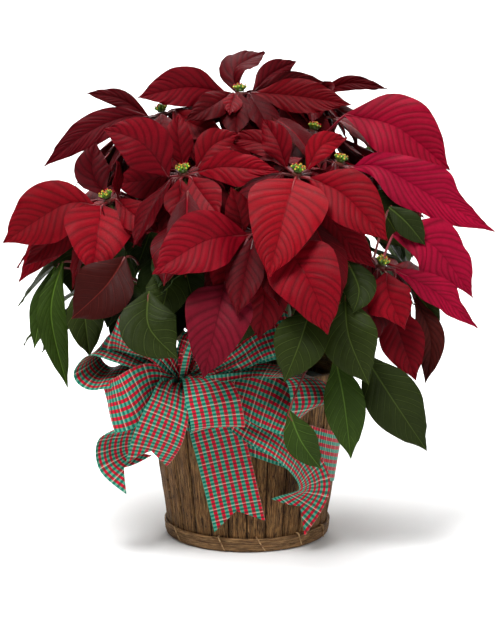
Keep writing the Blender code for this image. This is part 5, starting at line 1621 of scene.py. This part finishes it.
class FoliageSettings(bpy.types.PropertyGroup):
    """Sizes of the bracts and leaves."""

    thickness: bpy.props.FloatProperty(
        name="Blade thickness", description="Thickness of a bract or leaf", default=0.00045, unit="LENGTH"
    )
    quilt: bpy.props.FloatProperty(
        name="Quilting", description="Height of the swellings between veins", default=0.0007, unit="LENGTH"
    )


class BasketSettings(bpy.types.PropertyGroup):
    """Sizes and colours of the bark basket."""

    groove: bpy.props.FloatProperty(
        name="Gap depth", description="Depth of the gaps between staves", default=0.0028, unit="LENGTH"
    )
    roughness: bpy.props.FloatProperty(
        name="Bark roughness", description="Height of the bark's ridges", default=0.001, unit="LENGTH"
    )
    bark: bpy.props.FloatVectorProperty(
        name="Bark", description="Main colour of the bark", default=(128, 88, 46), size=3, min=0, max=255
    )


class RibbonSettings(bpy.types.PropertyGroup):
    """Sizes and colours of the plaid ribbon."""

    thickness: bpy.props.FloatProperty(
        name="Thickness", description="Thickness of the ribbon", default=0.0004, unit="LENGTH"
    )
    stripe: bpy.props.FloatProperty(
        name="Stripe pair", description="Width of a red and a green stripe", default=0.0073, unit="LENGTH"
    )
    line_gap: bpy.props.FloatProperty(
        name="Line spacing", description="Distance between pale cross lines", default=0.012, unit="LENGTH"
    )
    red: bpy.props.FloatVectorProperty(
        name="Red", description="Colour of the red threads", subtype="COLOR", default=linear((206, 8, 48))
    )
    green: bpy.props.FloatVectorProperty(
        name="Green", description="Colour of the green ones", subtype="COLOR", default=linear((28, 168, 140))
    )


class StageSettings(bpy.types.PropertyGroup):
    """The floor and the light."""

    floor: bpy.props.FloatVectorProperty(
        name="Floor", description="Colour of the floor", subtype="COLOR", default=(0.93, 0.93, 0.93)
    )
    key: bpy.props.FloatProperty(
        name="Main light", description="Power of the main light", default=90.0, unit="POWER"
    )
    fill: bpy.props.FloatProperty(
        name="Fill light", description="Strength of the light all round", default=0.11
    )


def styled(style, foliage_settings, quilt_share=1.0):
    """A kind of blade's style with the settings' sizes in millimetres."""
    quilt = foliage_settings.quilt * quilt_share / MM
    return {**style, "thick": foliage_settings.thickness / MM, "quilt": quilt}


class BuildHeads(bpy.types.Operator):
    """Build the bracts and flower buds of every head."""

    bl_idname = "poinsettia.heads"
    bl_label = "Flower heads"

    def execute(self, context):
        materials = (foliage("bract", BRACT_STYLE), stalk_material())
        bud = bud_material()
        style = styled(BRACT_STYLE, context.scene.poinsettia_foliage)
        for name in HEADS:
            head_piece(name, style, materials)
            buds_piece(name, (bud,))
        return {"FINISHED"}


class BuildPlants(bpy.types.Operator):
    """Build the leaves and stems of every rooted plant."""

    bl_idname = "poinsettia.plants"
    bl_label = "Leaves and stems"

    def execute(self, context):
        materials = (foliage("leaf", LEAF_STYLE), stalk_material())
        style = styled(LEAF_STYLE, context.scene.poinsettia_foliage, 0.8)
        for plant in range(len(CROWNS)):
            plant_piece(plant, style, materials)
        return {"FINISHED"}


class BuildBasket(bpy.types.Operator):
    """Build the bark basket with its hoops, ties and floor."""

    bl_idname = "poinsettia.basket"
    bl_label = "Basket"

    def execute(self, context):
        basket = context.scene.poinsettia_basket
        bark = bark_material("bark", tuple(basket.bark), (28, 16, 9), (192, 150, 94))
        wood = bark_material("split_wood", (140, 102, 62), (72, 46, 26), (196, 158, 108))
        wall_piece(basket, (bark,))
        hoop_piece("foot_hoop_strip", "foot_hoop", *FOOT_HOOP, (wood,))
        hoop_piece("rim_hoop_strip", "rim_hoop", *RIM_HOOP, (wood,), inside=True)
        ties_piece((wire_material(),))
        board_piece((wood,))
        return {"FINISHED"}


class BuildPot(bpy.types.Operator):
    """Build the grow pot and the soil in it."""

    bl_idname = "poinsettia.pot"
    bl_label = "Pot and soil"

    def execute(self, context):
        pot_piece((pot_material(),))
        soil_piece((soil_material(),))
        return {"FINISHED"}


class BuildRibbon(bpy.types.Operator):
    """Build the plaid ribbon round the basket and its bow."""

    bl_idname = "poinsettia.ribbon"
    bl_label = "Ribbon"

    def execute(self, context):
        cloth = context.scene.poinsettia_ribbon
        plaid = ribbon_material(cloth)
        band_piece(cloth, (plaid,))
        bow_piece(cloth, (plaid,))
        return {"FINISHED"}


# The stage, in metres: the floor's front, where it bends up, the bend's radius, its top and its half width
FLOOR_FRONT = -6.0
FLOOR_BEND = 1.6
BEND_RADIUS = 1.0
FLOOR_TOP = 6.0
FLOOR_HALF = 7.0
# Each light's name, place, aim, share of the main light's power and size
LIGHTS = (
    ("main_light", (-0.6, -1.35, 2.55), (0, 0, 0.25), 1.0, 1.1),
    ("side_light", (1.9, -1.6, 1.2), (0, 0, 0.25), 0.18, 1.4),
    ("backdrop_light", (0, 0.9, 2.4), (0, 2.6, 0.7), 1.2, 1.6),
)
SENSOR_HEIGHT = 24
# The image's height and the framing's shift, in picture points
IMAGE_HEIGHT = 625
SHIFT = (3, -15)


class BuildStage(bpy.types.Operator):
    """Build the pale floor, the soft lights and the camera."""

    bl_idname = "poinsettia.stage"
    bl_label = "Stage"

    def execute(self, context):
        stage = context.scene.poinsettia_stage
        mesh = bpy.data.meshes.new("floor")
        bend = [math.radians(a) for a in range(0, 91, 5)]
        run = [(FLOOR_FRONT, 0.0)]
        run += [(FLOOR_BEND + math.sin(a) * BEND_RADIUS, (1 - math.cos(a)) * BEND_RADIUS) for a in bend]
        run += [(FLOOR_BEND + BEND_RADIUS, FLOOR_TOP)]
        points = [(side, y, z) for side in (-FLOOR_HALF, FLOOR_HALF) for y, z in run]
        faces = [(i, i + len(run), i + len(run) + 1, i + 1) for i in range(len(run) - 1)]
        mesh.from_pydata(points, [], faces)
        mesh.shade_smooth()
        mesh.materials.append(floor_material(stage))
        floor = bpy.data.objects.new("floor", mesh)
        context.scene.collection.objects.link(floor)
        for name, place, aim, share, size in LIGHTS:
            light = bpy.data.lights.new(name, "AREA")
            light.energy = stage.key * share
            light.size = size
            lamp = bpy.data.objects.new(name, light)
            lamp.location = place
            lamp.rotation_euler = (Vector(aim) - Vector(place)).to_track_quat("-Z", "Y").to_euler()
            context.scene.collection.objects.link(lamp)
        world = bpy.data.worlds.new("studio")
        context.scene.world = world
        world.use_nodes = True
        background = world.node_tree.nodes["Background"]
        background.inputs["Color"].default_value = (1, 1, 1, 1)
        background.inputs["Strength"].default_value = stage.fill
        lens = bpy.data.cameras.new("camera")
        lens.sensor_fit = "VERTICAL"
        lens.sensor_height = SENSOR_HEIGHT
        lens.lens = SENSOR_HEIGHT * VIEW_DISTANCE / IMAGE_HEIGHT
        lens.shift_x, lens.shift_y = (points / IMAGE_HEIGHT for points in SHIFT)
        camera = bpy.data.objects.new("camera", lens)
        camera.location = EYE * MM
        camera.rotation_euler = (math.pi / 2 - VIEW_TILT, 0, 0)
        context.scene.collection.objects.link(camera)
        context.scene.camera = camera
        context.scene.view_settings.view_transform = "Standard"
        return {"FINISHED"}


OPERATORS = (BuildHeads, BuildPlants, BuildBasket, BuildPot, BuildRibbon, BuildStage)
GROUPS = {
    "poinsettia_foliage": FoliageSettings,
    "poinsettia_basket": BasketSettings,
    "poinsettia_ribbon": RibbonSettings,
    "poinsettia_stage": StageSettings,
}


class PoinsettiaPanel(bpy.types.Panel):
    """Lists the pieces and their settings."""

    bl_idname = "VIEW3D_PT_poinsettia"
    bl_label = "Poinsettia"
    bl_space_type = "VIEW_3D"
    bl_region_type = "UI"
    bl_category = "Poinsettia"

    def draw(self, context):
        for operator in OPERATORS:
            self.layout.operator(operator.bl_idname)
        for name, group in GROUPS.items():
            for field in group.__annotations__:
                self.layout.prop(getattr(context.scene, name), field)


def register():
    for group in GROUPS.values():
        bpy.utils.register_class(group)
    for name, group in GROUPS.items():
        setattr(bpy.types.Scene, name, bpy.props.PointerProperty(type=group))
    for operator in OPERATORS:
        bpy.utils.register_class(operator)
    bpy.utils.register_class(PoinsettiaPanel)


def unregister():
    bpy.utils.unregister_class(PoinsettiaPanel)
    for operator in reversed(OPERATORS):
        bpy.utils.unregister_class(operator)
    for name in GROUPS:
        delattr(bpy.types.Scene, name)
    for group in reversed(GROUPS.values()):
        bpy.utils.unregister_class(group)


def main():
    register()
    bpy.ops.poinsettia.stage()
    bpy.ops.poinsettia.basket()
    bpy.ops.poinsettia.pot()
    bpy.ops.poinsettia.plants()
    bpy.ops.poinsettia.heads()
    bpy.ops.poinsettia.ribbon()


if __name__ == "__main__":
    main()
